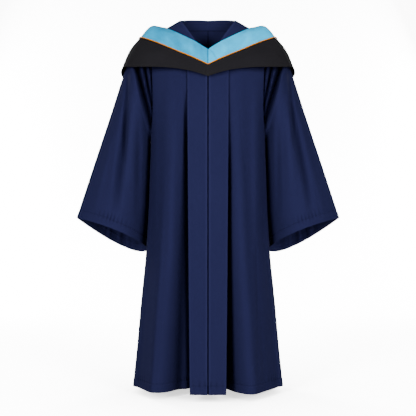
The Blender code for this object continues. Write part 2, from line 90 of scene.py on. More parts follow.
backdrop_paper = bpy.data.materials.new("backdrop_paper")
backdrop_paper.use_nodes = True
paper_nodes, paper_link = backdrop_paper.node_tree.nodes, backdrop_paper.node_tree.links.new
paper = paper_nodes["Principled BSDF"]
paper.inputs["Base Color"].default_value = (0.55, 0.55, 0.55, 1.0)
paper.inputs["Roughness"].default_value = 0.9
paper.inputs["Specular IOR Level"].default_value = 0.1
washed = paper_nodes.new("ShaderNodeBsdfDiffuse")
glow = paper_nodes.new("ShaderNodeEmission")
glow.inputs["Strength"].default_value = 4.5
# Ambient occlusion darkens the paper's glow near the gown: a painted contact shadow.
painted_contact_shade = paper_nodes.new("ShaderNodeAmbientOcclusion")
painted_contact_shade.inputs["Distance"].default_value = 0.5
painted_contact_shade.samples = 24
fall_off = paper_nodes.new("ShaderNodeMath")
fall_off.operation = "POWER"
fall_off.inputs[1].default_value = 0.6
paper_link(painted_contact_shade.outputs["AO"], fall_off.inputs[0])
paper_link(fall_off.outputs["Value"], glow.inputs["Color"])
lit_paper = paper_nodes.new("ShaderNodeVectorMath")
lit_paper.operation = "SCALE"
lit_paper.inputs[0].default_value = (8.5, 8.5, 8.5)
paper_link(fall_off.outputs["Value"], lit_paper.inputs["Scale"])
paper_link(lit_paper.outputs["Vector"], washed.inputs["Color"])
bright = paper_nodes.new("ShaderNodeAddShader")
seen = paper_nodes.new("ShaderNodeLightPath")
either = paper_nodes.new("ShaderNodeMixShader")
paper_link(washed.outputs["BSDF"], bright.inputs[0])
paper_link(glow.outputs["Emission"], bright.inputs[1])
paper_link(seen.outputs["Is Camera Ray"], either.inputs["Fac"])
paper_link(paper.outputs["BSDF"], either.inputs[1])
paper_link(bright.outputs["Shader"], either.inputs[2])
paper_link(either.outputs["Shader"], paper_nodes["Material Output"].inputs["Surface"])

backdrop_points = studio_sweep(
    floor_height=-1.187, depth=7.0, wall_start=2.2, bend=1.6, wall_top=6.0, half_width=9.0
)
backdrop = plain_grid("backdrop", backdrop_points)
backdrop.data.materials.append(backdrop_paper)

# The camera sees white air, which lights the cloth only faintly.

WHITE = (1.0, 1.0, 1.0, 1.0)

world = bpy.data.worlds.new("studio_air")
world.use_nodes = True
air_nodes, air_link = world.node_tree.nodes, world.node_tree.links.new
air_nodes["Background"].inputs["Color"].default_value = WHITE
air_nodes["Background"].inputs["Strength"].default_value = 0.08
pale = air_nodes.new("ShaderNodeBackground")
pale.inputs["Color"].default_value = WHITE
pale.inputs["Strength"].default_value = 7.0
looked_at = air_nodes.new("ShaderNodeLightPath")
air = air_nodes.new("ShaderNodeMixShader")
air_link(looked_at.outputs["Is Camera Ray"], air.inputs["Fac"])
air_link(air_nodes["Background"].outputs["Background"], air.inputs[1])
air_link(pale.outputs["Background"], air.inputs[2])
air_link(air.outputs["Shader"], air_nodes["World Output"].inputs["Surface"])
bpy.context.scene.world = world


def soft_box(name, place, towards, size, power):
    """A square softbox at a place, turned towards a point."""
    light = bpy.data.lights.new(name, "AREA")
    light.shape = "RECTANGLE"
    light.size, light.size_y = size
    light.energy = power
    made = bpy.data.objects.new(name, light)
    made.location = place
    made.visible_camera = False
    away = np.array(place) - np.array(towards)
    tilt = math.acos(away[2] / np.linalg.norm(away))
    made.rotation_euler = (tilt, 0.0, math.atan2(away[1], away[0]) + math.pi / 2)
    bpy.context.collection.objects.link(made)


soft_box("left_softbox", (-2.2, -3.7, 0.25), (0.0, 0.0, -0.55), (1.3, 1.5), 175.0)
soft_box("right_softbox", (2.3, -3.6, 0.15), (0.0, 0.0, -0.55), (1.3, 1.5), 155.0)
soft_box("top_softbox", (0.0, -0.2, 2.4), (0.0, 0.0, 0.0), (2.0, 1.4), 10.0)
soft_box("back_left_softbox", (-2.4, 3.2, 0.6), (0.0, 0.0, -0.55), (1.3, 1.5), 95.0)
soft_box("back_right_softbox", (2.2, 3.4, 0.4), (0.0, 0.0, -0.55), (1.3, 1.5), 80.0)


# The gown's cloth: a navy polyester in a fine plain weave, nearly dull, with a slight sheen
# where it turns away. It is a thin wall, and its threads run along each piece's own length.

def weave_group():
    """Threads over and under each other: two crossed waves in the piece's own UV metres.

    Slubs run along the threads, a soft cast drifts over the cloth, and a point attribute of
    painted light lightens it where it is above 0, as a painted highlight, and darkens it where it is below,
    as painted shade.
    """
    group = bpy.data.node_groups.new("cloth_weave", "ShaderNodeTree")
    socket = group.interface.new_socket
    for name in ("Thread Colour", "Shadow Colour"):
        socket(name, in_out="INPUT", socket_type="NodeSocketColor")
    for name in ("Threads per Metre", "Roughness", "Slub", "Cast", "Cast Scale"):
        socket(name, in_out="INPUT", socket_type="NodeSocketFloat")
    socket("Colour", in_out="OUTPUT", socket_type="NodeSocketColor")
    socket("Roughness", in_out="OUTPUT", socket_type="NodeSocketFloat")
    socket("Height", in_out="OUTPUT", socket_type="NodeSocketFloat")
    nodes, link = group.nodes, group.links.new
    given, put_out = nodes.new("NodeGroupInput"), nodes.new("NodeGroupOutput")
    place = nodes.new("ShaderNodeUVMap")
    place.uv_map = "cloth"
    split = nodes.new("ShaderNodeSeparateXYZ")
    link(place.outputs["UV"], split.inputs["Vector"])

    def maths(kind, first, second=None, third=None):
        node = nodes.new("ShaderNodeMath")
        node.operation = kind
        for slot, value in enumerate((first, second, third)):
            if value is None:
                continue
            if isinstance(value, float):
                node.inputs[slot].default_value = value
            else:
                link(value, node.inputs[slot])
        return node.outputs["Value"]

    turns = maths("MULTIPLY", given.outputs["Threads per Metre"], math.pi)
    warp = maths("SINE", maths("MULTIPLY", split.outputs["X"], turns))
    weft = maths("SINE", maths("MULTIPLY", split.outputs["Y"], turns))
    crossing = maths("MULTIPLY", warp, weft)
    over = maths("MULTIPLY_ADD", crossing, 0.5, 0.5)

    slub = nodes.new("ShaderNodeTexNoise")
    slub.inputs["Scale"].default_value = 1.0
    slub.inputs["Detail"].default_value = 2.0
    stretch = nodes.new("ShaderNodeMapping")
    stretch.inputs["Scale"].default_value = (60.0, 900.0, 1.0)
    link(place.outputs["UV"], stretch.inputs["Vector"])
    link(stretch.outputs["Vector"], slub.inputs["Vector"])
    cast = nodes.new("ShaderNodeTexNoise")
    link(given.outputs["Cast Scale"], cast.inputs["Scale"])
    cast.inputs["Detail"].default_value = 3.0
    link(place.outputs["UV"], cast.inputs["Vector"])

    uneven = maths("MULTIPLY", maths("SUBTRACT", slub.outputs["Fac"], 0.5), given.outputs["Slub"])
    drift = maths("MULTIPLY", maths("SUBTRACT", cast.outputs["Fac"], 0.5), given.outputs["Cast"])
    # Painted light read from the mesh: a painted highlight above 0, painted shade below 0.
    painted_light_and_shade = nodes.new("ShaderNodeAttribute")
    painted_light_and_shade.attribute_name = "painted_light_and_shade"
    painted_light_and_cast = maths("MULTIPLY_ADD", painted_light_and_shade.outputs["Fac"], 0.55, drift)
    lit = maths("ADD", maths("MULTIPLY_ADD", over, 0.25, 0.62), maths("ADD", uneven, painted_light_and_cast))
    colour = nodes.new("ShaderNodeMix")
    colour.data_type = "RGBA"
    colour.clamp_factor = False
    link(lit, colour.inputs["Factor"])
    link(given.outputs["Shadow Colour"], colour.inputs["A"])
    link(given.outputs["Thread Colour"], colour.inputs["B"])
    link(colour.outputs["Result"], put_out.inputs["Colour"])
    rough = maths("ADD", given.outputs["Roughness"], maths("MULTIPLY", uneven, 0.6))
    link(rough, put_out.inputs["Roughness"])
    link(maths("ADD", over, maths("MULTIPLY", uneven, 1.5)), put_out.inputs["Height"])
    return group


weave = weave_group()


def woven(name, thread, shadow, threads, roughness, slub, cast, sheen, bump, specular, tint=WHITE):
    """A cloth finish: the weave's colour, roughness and height on a Principled shader.

    `threads` is how many there are in a metre. `cast` is how far the colour drifts, and the
    scale of that drift.
    """
    made = bpy.data.materials.new(name)
    made.use_nodes = True
    nodes, link = made.node_tree.nodes, made.node_tree.links.new
    shader = nodes["Principled BSDF"]
    gloss = {"Sheen Weight": sheen, "Sheen Roughness": 0.45, "Sheen Tint": tint,
             "Specular IOR Level": specular, "Specular Tint": tint}
    for socket, value in gloss.items():
        shader.inputs[socket].default_value = value
    threads_at = nodes.new("ShaderNodeGroup")
    threads_at.node_tree = weave
    cloth = {"Thread Colour": thread, "Shadow Colour": shadow, "Threads per Metre": threads,
             "Roughness": roughness, "Slub": slub, "Cast": cast[0], "Cast Scale": cast[1]}
    for socket, value in cloth.items():
        threads_at.inputs[socket].default_value = value
    relief = nodes.new("ShaderNodeBump")
    relief.inputs["Strength"].default_value = bump
    relief.inputs["Distance"].default_value = 0.0002
    link(threads_at.outputs["Colour"], shader.inputs["Base Color"])
    link(threads_at.outputs["Roughness"], shader.inputs["Roughness"])
    link(threads_at.outputs["Height"], relief.inputs["Height"])
    link(relief.outputs["Normal"], shader.inputs["Normal"])
    return made


navy_cloth = woven(
    "navy_cloth", thread=(0.0150, 0.0162, 0.0560, 1.0), shadow=(0.0085, 0.0092, 0.0335, 1.0),
    threads=1500.0, roughness=0.85, slub=0.25, cast=(0.30, 7.0), sheen=0.012, bump=0.25,
    specular=0.02, tint=(0.55, 0.65, 1.0, 1.0)
)


def normals_of(points, closed=False):
    """Unit normals of a grid of points: the step across crossed with the step down."""
    if closed:
        wrapped = np.concatenate([points[:, -1:], points, points[:, :1]], axis=1)
        across = np.gradient(wrapped, axis=1)[:, 1:-1]
    else:
        across = np.gradient(points, axis=1)
    normal = np.cross(across, np.gradient(points, axis=0))
    return normal / np.maximum(np.linalg.norm(normal, axis=-1, keepdims=True), 1e-12)


def run_along(points, axis):
    """Distance run so far down a grid's columns, axis 0, or along its rows, axis 1."""
    first = np.take(points, [0], axis=axis)
    return np.cumsum(np.linalg.norm(np.diff(points, axis=axis, prepend=first), axis=-1), axis=axis)


def cloth_lengths(points, closed):
    """UV metres for a grid: the mean length along a row, and the mean length down the columns."""
    ring = np.concatenate([points, points[:, :1]], axis=1) if closed else points
    across = np.linalg.norm(np.diff(ring, axis=1), axis=-1).mean(0)
    down = np.linalg.norm(np.diff(points, axis=0), axis=-1).mean(1)
    return np.concatenate([[0.0], np.cumsum(across)]), np.concatenate([[0.0], np.cumsum(down)])


def cloth_piece(name, points, thickness, finish, square=(), closed=False, side="left", painted_light_and_shade=None):
    """A piece of cloth: a closed wall of even thickness about a grid of points.

    `square` gives grid edges, as numpy places, with the axis that the wall's end lies square
    to, so that two pieces meet there. The values given for painted light are above 0 where a
    highlight is painted on the cloth and below 0 where shade is painted on it. The wearer's
    right is the left's mirror image.
    """
    normal = normals_of(points, closed)
    for edge, axis in square:
        turned = normal[edge].copy()
        turned[..., axis] = 0.0
        normal[edge] = turned / np.linalg.norm(turned, axis=-1, keepdims=True)
    rows, columns = points.shape[:2]
    count = rows * columns
    vertices = np.concatenate([(points + normal * thickness / 2).reshape(-1, 3),
                               (points - normal * thickness / 2).reshape(-1, 3)])
    if side == "right":
        vertices = vertices * (-1.0, 1.0, 1.0)
    spans = columns if closed else columns - 1
    row, column = np.meshgrid(np.arange(rows - 1), np.arange(spans), indexing="ij")
    row, column = row.ravel(), column.ravel()
    beside = (column + 1) % columns
    outer = np.stack([row * columns + column, row * columns + beside,
                      (row + 1) * columns + beside, (row + 1) * columns + column], axis=-1)
    uv_across, uv_down = cloth_lengths(points, closed)
    outer_uv = np.stack([np.stack([uv_across[column], uv_down[row]], -1),
                         np.stack([uv_across[column + 1], uv_down[row]], -1),
                         np.stack([uv_across[column + 1], uv_down[row + 1]], -1),
                         np.stack([uv_across[column], uv_down[row + 1]], -1)], axis=1)
    top, bottom = np.arange(columns), (rows - 1) * columns + np.arange(columns)[::-1]
    if closed:
        loops = [(top, np.roll(top, -1)), (bottom, np.roll(bottom, -1))]
    else:
        right = np.arange(1, rows - 1) * columns + columns - 1
        left = np.arange(1, rows - 1)[::-1] * columns
        whole = np.concatenate([top, right, bottom, left])
        loops = [(whole, np.roll(whole, -1))]
    rim = np.concatenate([
        np.stack([second, first, first + count, second + count], -1) for first, second in loops
    ])
    rim_half = np.stack([uv_across[rim[:, :2] % columns], uv_down[(rim[:, :2] % count) // columns]], -1)
    rim_uv = np.concatenate([rim_half, rim_half[:, ::-1]], 1)
    quads = np.concatenate([outer, outer[:, ::-1] + count, rim])
    uv = np.concatenate([outer_uv, outer_uv[:, ::-1], rim_uv])
    if side == "right":
        quads, uv = quads[:, ::-1], uv[:, ::-1]
    mesh = bpy.data.meshes.new(name)
    mesh.from_pydata(vertices, [], quads)
    layer = mesh.uv_layers.new(name="cloth")
    layer.data.foreach_set("uv", uv.astype(np.float32).ravel())
    # The layer holds painted light: painted highlights above 0, painted shade below 0.
    painted_light_grid = np.zeros(points.shape[:2]) if painted_light_and_shade is None else np.broadcast_to(painted_light_and_shade, points.shape[:2])
    painted_light = mesh.attributes.new("painted_light_and_shade", "FLOAT", "POINT")
    painted_light.data.foreach_set("value", np.tile(painted_light_grid.ravel(), 2).astype(np.float32))
    mesh.shade_smooth()
    mesh.set_sharp_from_angle(angle=math.radians(55.0))
    mesh.materials.append(finish)
    piece = bpy.data.objects.new(name, mesh)
    bpy.context.collection.objects.link(piece)
    return piece


def smooth_line(keys, values, at):
    """A smooth line through a table's values.

    Between two keys it is a cubic with the central differences as its slopes.
    """
    keys, values = np.asarray(keys, float), np.asarray(values, float)
    slopes = np.gradient(values, keys)
    at = np.clip(np.asarray(at, float), keys[0], keys[-1])
    low = np.clip(np.searchsorted(keys, at, side="right") - 1, 0, len(keys) - 2)
    step = keys[low + 1] - keys[low]
    part = (at - keys[low]) / step
    return ((1 + 2 * part) * (1 - part) ** 2 * values[low] + part * (1 - part) ** 2 * step * slopes[low]
            + part**2 * (part - 1) * step * slopes[low + 1] + part**2 * (3 - 2 * part) * values[low + 1])


def ease(low, high, at):
    """0 below low, 1 above high, and a smooth S between them."""
    part = np.clip((np.asarray(at, float) - low) / (high - low), 0.0, 1.0)
    return part * part * (3 - 2 * part)


def bump_across(away, half):
    """A raised cosine: 1 on a fold's line and 0 from half its width on."""
    return (1 + np.cos(math.pi * np.clip(np.abs(away) / half, 0.0, 1.0))) / 2


def line_folds(folds, out, drop):
    """Sum of folds that each follow a straight line in the front view and fade at both ends.

    A fold is its top and its foot, each a distance sideways and a drop, then half of its
    width, and its depth midway, which is above 0 where it stands out.
    """
    lift = np.zeros(np.broadcast(out, drop).shape)
    for top_out, top_drop, foot_out, foot_drop, half, depth in folds:
        length = math.hypot(foot_out - top_out, foot_drop - top_drop)
        along_out, along_drop = (foot_out - top_out) / length, (foot_drop - top_drop) / length
        run = (out - top_out) * along_out + (drop - top_drop) * along_drop
        away = (out - top_out) * along_drop - (drop - top_drop) * along_out
        fade = np.sin(math.pi * np.clip(run / length, 0.0, 1.0)) ** 0.7
        lift = lift + depth * fade * bump_across(away, half)
    return lift


# The body of the gown is worked out on one oval ring round the wearer, which domes over at
# the top to meet the shoulder seam. The yokes, fronts and backs all lie on it.

LENGTH = 1.165
NECK_HALF = 0.0885
CHEST = 0.400
ROUND = 2.15
DOME = 2.2
SHOULDER_HALF = 0.195
SHOULDER_SLOPE = 0.565
SHOULDER_DROP = SHOULDER_SLOPE * (SHOULDER_HALF - NECK_HALF)
UNDERARM_DROP = 0.370
SEAM = 0.0003
GOWN_WALL = 0.0011
HEM_TURNED_UP = 0.026
HEM_ROWS = 30
HEM_ROWS_FROM = LENGTH - 0.045

RING = {
    "drop": (-0.06, 0.05, 0.15, 0.25, 0.37, 0.50, 0.58, 0.74, 0.90, 1.06, 1.165),
    "wide": (0.250, 0.232, 0.213, 0.198, 0.183, 0.1855, 0.188, 0.1975, 0.2135, 0.228, 0.239),
    "front": (0.106, 0.113, 0.123, 0.131, 0.136, 0.140, 0.143, 0.151, 0.159, 0.166, 0.171),
    "back": (0.100, 0.110, 0.119, 0.123, 0.125, 0.128, 0.132, 0.143, 0.156, 0.169, 0.178),
}
ARMHOLE = {
    "share": (0.00, 0.25, 0.45, 0.65, 0.85, 1.00),
    "out": (SHOULDER_HALF, 0.180, 0.173, 0.171, 0.177, 0.183),
}


def ring(column, drop):
    """One of the ring's sizes at a drop."""
    return smooth_line(RING["drop"], RING[column], drop)


def shoulder(out):
    """Drop of the shoulder seam at a distance sideways."""
    return SHOULDER_SLOPE * (out - NECK_HALF)


def dome_angle(out, drop):
    """How far round the shoulder a point lies: 0 on the shoulder seam, a quarter turn at the chest."""
    rise = (CHEST - drop) / (CHEST - shoulder(out))
    return np.arccos(np.clip(rise, 0.0, 1.0) ** (DOME / 2))


def dome_drop(out, angle):
    """The drop at that angle round the shoulder."""
    return CHEST - np.cos(angle) ** (2 / DOME) * (CHEST - shoulder(out))


def ring_depth(out, drop, face):
    """The ring's reach at a distance sideways, times the sine of the angle round the shoulder."""
    share = np.clip(out / ring("wide", drop), 0.0, 1.0)
    return ring(face, drop) * (1 - share**ROUND) ** (1 / ROUND) * np.sin(dome_angle(out, drop))


def ring_angle(out, drop):
    """Where round the ring a distance sideways lies, in radians from the centre."""
    return np.arcsin(np.clip(out / ring("wide", drop), 0.0, 1.0) ** (ROUND / 2))


def armhole_drop(share):
    """Drop of the armhole's edge, from 0 at the shoulder tip to 1 at the underarm."""
    return SHOULDER_DROP + (UNDERARM_DROP - SHOULDER_DROP) * (1 - np.cos(math.pi * share)) / 2


def armhole_share(drop):
    """Where on the armhole's edge a drop lies."""
    part = (drop - SHOULDER_DROP) / (UNDERARM_DROP - SHOULDER_DROP)
    return np.arccos(np.clip(1 - 2 * part, -1.0, 1.0)) / math.pi


def armhole_out(share):
    """Distance sideways of the armhole's edge."""
    return smooth_line(ARMHOLE["share"], ARMHOLE["out"], share)


def placed(out, depth, drop, face):
    """Points from distance sideways, depth and drop, on the wearer's left."""
    out, depth, drop = np.broadcast_arrays(out, depth, drop)
    return np.stack([out, (-depth if face == "front" else depth), -drop], axis=-1)


def outer_angle(drop):
    """The ring angle of a panel's outer edge: the armhole, and below the underarm the side seam."""
    edge = ring_angle(armhole_out(armhole_share(drop)), drop)
    return np.where(drop < UNDERARM_DROP - 1e-6, edge, math.pi / 2)


def panel_drops(seam_drop, above, below):
    """Drops of a panel's rows: `above` of them down the armhole, then `below` more.

    The last of them are close together at the hem.
    """
    upper = armhole_drop(np.linspace(armhole_share(seam_drop), 1.0, above))
    middle = np.linspace(UNDERARM_DROP, HEM_ROWS_FROM, below - HEM_ROWS + 1)
    at_hem = np.linspace(HEM_ROWS_FROM, LENGTH, HEM_ROWS + 1)
    return np.concatenate([[seam_drop], upper[1:], middle[1:], at_hem[1:]])


def hem_work(from_edge, run, strength=1.0):
    """A turned-up hem seen from outside: how far it stands up and how dark it lies.

    It has a groove on its stitching, puckers across that, which come and go along the hem,
    and a fuller edge. Shade is painted in the groove and in the hollows of the puckers.
    """
    above = from_edge - HEM_TURNED_UP
    gather = np.sin(run * 430.0 + 2.1 * np.sin(run * 53.0)) * (0.5 + 0.5 * np.sin(run * 29.0 + 1.0)) ** 1.5
    puckers = gather * bump_across(above - 0.004, 0.024)
    fuller = 0.0006 * (1 - ease(-0.005, 0.0, above))
    raised = strength * (0.0006 * puckers - 0.0008 * bump_across(above, 0.0035)) + fuller
    # Painted shade: darker in the stitching groove and in the hollows of the puckers.
    painted_shade = 0.30 * bump_across(above, 0.004) + 1.3 * strength * np.clip(-puckers, 0.0, 1.0) ** 1.5
    return raised, -painted_shade


def line_across(points, run, distance, normal, lift):
    """The line on a grid where `run`, which grows down each column, reaches a distance.

    It is raised off the cloth by `lift` along the normals, which are given with it.
    """
    columns = np.arange(points.shape[1])
    row = np.clip((run < distance).sum(0), 1, len(run) - 1)
    part = ((distance - run[row - 1, columns]) / (run[row, columns] - run[row - 1, columns]))[:, None]
    raised = points + normal * lift
    return raised[row - 1, columns] * (1 - part) + raised[row, columns] * part, normal[row, columns]


STITCH_PITCH = 0.0036
STITCH_LENGTH = 0.0026
STITCH_WIDTH = 0.0005
STITCH_HEIGHT = 0.0003
LOOK_AHEAD = 0.0005


def read_along(values, run, at):
    """A line's points or normals, read at distances along it."""
    return np.stack([np.interp(at, run, values[:, axis]) for axis in range(3)], axis=-1)


def stitch_row(name, rows, finish, side="both"):
    """Rows of stitches as one mesh: a small lens at even steps along each line, long along the line.

    A lens is two tips and two rings of four points, at three tenths of its length from the middle.
    """
    corners = np.array([(-0.5, 0, -0.4), (-0.3, -0.5, 0), (-0.3, 0, 1), (-0.3, 0.5, 0), (-0.3, 0, -1),
                        (0.3, -0.5, 0), (0.3, 0, 1), (0.3, 0.5, 0), (0.3, 0, -1), (0.5, 0, -0.4)])
    faces = [(0, 1, 2), (0, 2, 3), (0, 3, 4), (0, 4, 1), (9, 6, 5), (9, 7, 6), (9, 8, 7), (9, 5, 8),
             (1, 5, 6, 2), (2, 6, 7, 3), (3, 7, 8, 4), (4, 8, 5, 1)]
    places = []
    for line, normal in rows:
        run = run_along(line, 0)
        at = np.arange(STITCH_PITCH, run[-1] - STITCH_PITCH / 2, STITCH_PITCH)
        centre = read_along(line, run, at)
        ahead = read_along(line, run, at + LOOK_AHEAD) - centre
        ahead /= np.linalg.norm(ahead, axis=-1, keepdims=True)
        beside = np.cross(read_along(normal, run, at), ahead)
        beside /= np.linalg.norm(beside, axis=-1, keepdims=True)
        upright = np.cross(ahead, beside)
        sizes = np.stack([ahead * STITCH_LENGTH, beside * STITCH_WIDTH, upright * STITCH_HEIGHT], axis=1)
        places.append(centre[:, None] + corners[None] @ sizes)
    lenses = np.concatenate(places)
    if side != "left":
        mirrored = lenses * (-1.0, 1.0, 1.0)
        lenses = np.concatenate([lenses, mirrored]) if side == "both" else mirrored
    split = len(lenses) // 2 if side == "both" else (0 if side == "right" else len(lenses))
    quads = []
    for first in range(0, len(lenses) * 10, 10):
        turned = first >= split * 10
        quads += [tuple(first + corner for corner in (face[::-1] if turned else face)) for face in faces]
    mesh = bpy.data.meshes.new(name)
    mesh.from_pydata(lenses.reshape(-1, 3), [], quads)
    corner = np.zeros(len(mesh.loops), dtype=np.int32)
    mesh.loops.foreach_get("vertex_index", corner)
    along = (corner // 10) * STITCH_PITCH + corners[corner % 10, 0] * STITCH_LENGTH
    across = corners[corner % 10, 1] * STITCH_WIDTH
    uv = np.stack([along, across], axis=-1).astype(np.float32)
    mesh.uv_layers.new(name="cloth").data.foreach_set("uv", uv.ravel())
    mesh.shade_smooth()
    mesh.materials.append(finish)
    made = bpy.data.objects.new(name, mesh)
    bpy.context.collection.objects.link(made)
    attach(made, "root")


# The yokes lie over the shoulders, one each side, from the front panels to the back ones.
# Each is one piece of cloth that is shaped over the shoulder and open at the neck, with a
# line of edge stitching beside the neck opening.

YOKE_FRONT_DROP = 0.155
YOKE_BACK_DROP = 0.165
NECK_FRONT_DROP = 0.138
NECK_BACK_DROP = -0.0085
NECK_STITCHED_AT = 0.009

# NECK_ROWS are the rows that end at the neck's edge, less the last two at the centre back.

ROWS_BELOW_NECK_FRONT = 6
ROWS_BELOW_NECK_BACK = 44
NECK_ROWS = np.s_[6:64]


def yoke_rows(face, seam_drop, neck_drop, below, shares):
    """Rows from the yoke's lower seam up to the shoulder.

    Each runs from the neck's edge, or the centre line below it, out to the armhole. It keeps
    the same share of the angle round the shoulder all along its length.
    """
    tries = np.linspace(0.0, armhole_share(seam_drop), 400)
    edge_out = armhole_out(tries)
    edge_rise = 1 - dome_angle(edge_out, armhole_drop(tries)) / dome_angle(edge_out, seam_drop)
    centre_rise = 1 - dome_angle(0.0, neck_drop) / dome_angle(0.0, seam_drop)
    neck_out = NECK_HALF * (1 - np.asarray(shares))
    neck_share = 1 - (1 - np.asarray(shares)) ** (3 if face == "back" else 1)
    neck_rise = 1 - dome_angle(neck_out, neck_drop * neck_share) / dome_angle(neck_out, seam_drop)
    inner = np.concatenate([np.zeros(below), neck_out])[:, None]
    rise = np.concatenate([np.arange(below) / below * centre_rise, neck_rise])[:, None]
    outer = np.interp(rise, edge_rise[::-1], edge_out[::-1])
    out = inner + (outer - inner) * np.linspace(0.0, 1.0, 60)[None, :]
    drop = dome_drop(out, (1 - rise) * dome_angle(out, seam_drop))
    return placed(out, ring_depth(out, drop, face), drop, face)


def yoke_surface():
    """The left yoke: front rows up to the shoulder, then back rows down from it."""
    front_shares, back_shares = np.linspace(1.0, 0.0, 40), np.linspace(1.0, 0.04, 20)
    front = yoke_rows("front", YOKE_FRONT_DROP, NECK_FRONT_DROP, ROWS_BELOW_NECK_FRONT, front_shares)
    back = yoke_rows("back", YOKE_BACK_DROP, NECK_BACK_DROP, ROWS_BELOW_NECK_BACK, back_shares)
    points = np.concatenate([front, back[::-1]])
    points[..., 0] = np.maximum(points[..., 0], 0.0)
    from_neck = run_along(points, 1)
    at_neck = np.where(points[:, :1, 0] > 0.0005, 1.0, 0.0)
    # Painted light: a highlight along the neck's edge, the yoke a little lighter all over, and painted
    # shade down the centre back seam below the neck.
    painted_light_and_shade = at_neck * 0.8 * bump_across(from_neck - 0.003, 0.006) + 0.22
    painted_light_and_shade[:, 0] = np.where(at_neck[:, 0] > 0, painted_light_and_shade[:, 0], -2.2)
    return points, painted_light_and_shade


yoke_ends = ((np.s_[0, :], 2), (np.s_[-1, :], 2),
             (np.s_[: ROWS_BELOW_NECK_FRONT + 1, 0], 0), (np.s_[-ROWS_BELOW_NECK_BACK - 1 :, 0], 0))
for side in ("left", "right"):
    yoke_points, yoke_painted_light = yoke_surface()
    yoke = cloth_piece(
        "yoke_cloth_" + side, yoke_points, GOWN_WALL, navy_cloth, yoke_ends, side=side, painted_light_and_shade=yoke_painted_light
    )
    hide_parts("yoke_" + side)
    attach(yoke, "root")

yoke_normal = normals_of(yoke_points)
beside_neck = line_across(
    yoke_points[NECK_ROWS].transpose(1, 0, 2), run_along(yoke_points, 1)[NECK_ROWS].T, NECK_STITCHED_AT,
    yoke_normal[NECK_ROWS].transpose(1, 0, 2), GOWN_WALL / 2
)
stitch_row("neck_edge_stitching", [beside_neck], navy_cloth)


# Each front is one width of cloth from the centre to the side seam. Its inner edge is a flat
# band, pressed along both sides, and the cloth is folded in behind the band as one deep
# pleat, sewn down at the top, that falls open towards the hem.

BAND_DROPS = (0.155, 0.26, 0.40, 0.58, 0.80, 1.00, 1.165)
BAND_HALVES = (0.0640, 0.0632, 0.0620, 0.0606, 0.0588, 0.0566, 0.0548)
PLEAT_TURN = 0.00125
PLEAT_TUCK = 0.024
EDGE_ROLL = 0.0012
EDGE_GAP = 0.0019

# The columns of a front's grid: its band's face runs from FACE_FROM to FACE_TO, and the
# turned part ends at PLEAT_END.

FACE_FROM = 15
FACE_TO = 37
PLEAT_END = 73
FRONT_ARMHOLE_ROWS = 48
FRONT_DROPS = panel_drops(YOKE_FRONT_DROP + SEAM, FRONT_ARMHOLE_ROWS, 150)

# How far the hem stands out from the plain ring, by share of the half width. The folds, as
# line_folds takes them. The recess behind the band's edge: the drops where it begins and is
# full, and its depth.

FRONT_HEM = {
    "share": (0.22, 0.28, 0.34, 0.43, 0.51, 0.60, 0.67, 0.74, 0.79, 0.85, 0.93, 1.00),
    "left": (-0.074, -0.072, -0.044, -0.011, 0.010, 0.017, 0.004, -0.012, -0.018, -0.026, -0.028, 0.0),
    "right": (-0.085, -0.088, -0.088, -0.064, -0.031, -0.006, 0.004, 0.009, -0.004, -0.017, -0.024, 0.0),
}
FRONT_FOLDS = {
    "left": (
        (0.120, 0.17, 0.128, 0.90, 0.022, -0.0030),
        (0.150, 0.20, 0.150, 0.75, 0.020, 0.0035),
        (0.168, 0.32, 0.178, 0.80, 0.014, -0.0025),
        (0.150, 0.66, 0.153, 1.20, 0.006, -0.0014),
    ),
    "right": (
        (0.118, 0.17, 0.112, 0.88, 0.024, 0.0035),
        (0.150, 0.22, 0.150, 0.70, 0.020, -0.0030),
        (0.168, 0.34, 0.176, 0.78, 0.014, -0.0020),
        (0.151, 0.74, 0.181, 1.22, 0.006, -0.0015),
    ),
}
RECESS = {"left": (0.30, 0.56, 0.015), "right": (0.20, 0.42, 0.018)}


def front_lift(side, share, drop):
    """How far a front stands out from the plain ring: 0 at the top, the hem's own plan at the hem."""
    start = 0.24 + 0.24 * ease(0.45, 0.65, share)
    down = np.clip((drop - start) / (LENGTH - start), 0.0, 1.0)
    return smooth_line(FRONT_HEM["share"], FRONT_HEM[side], share) * down**0.8


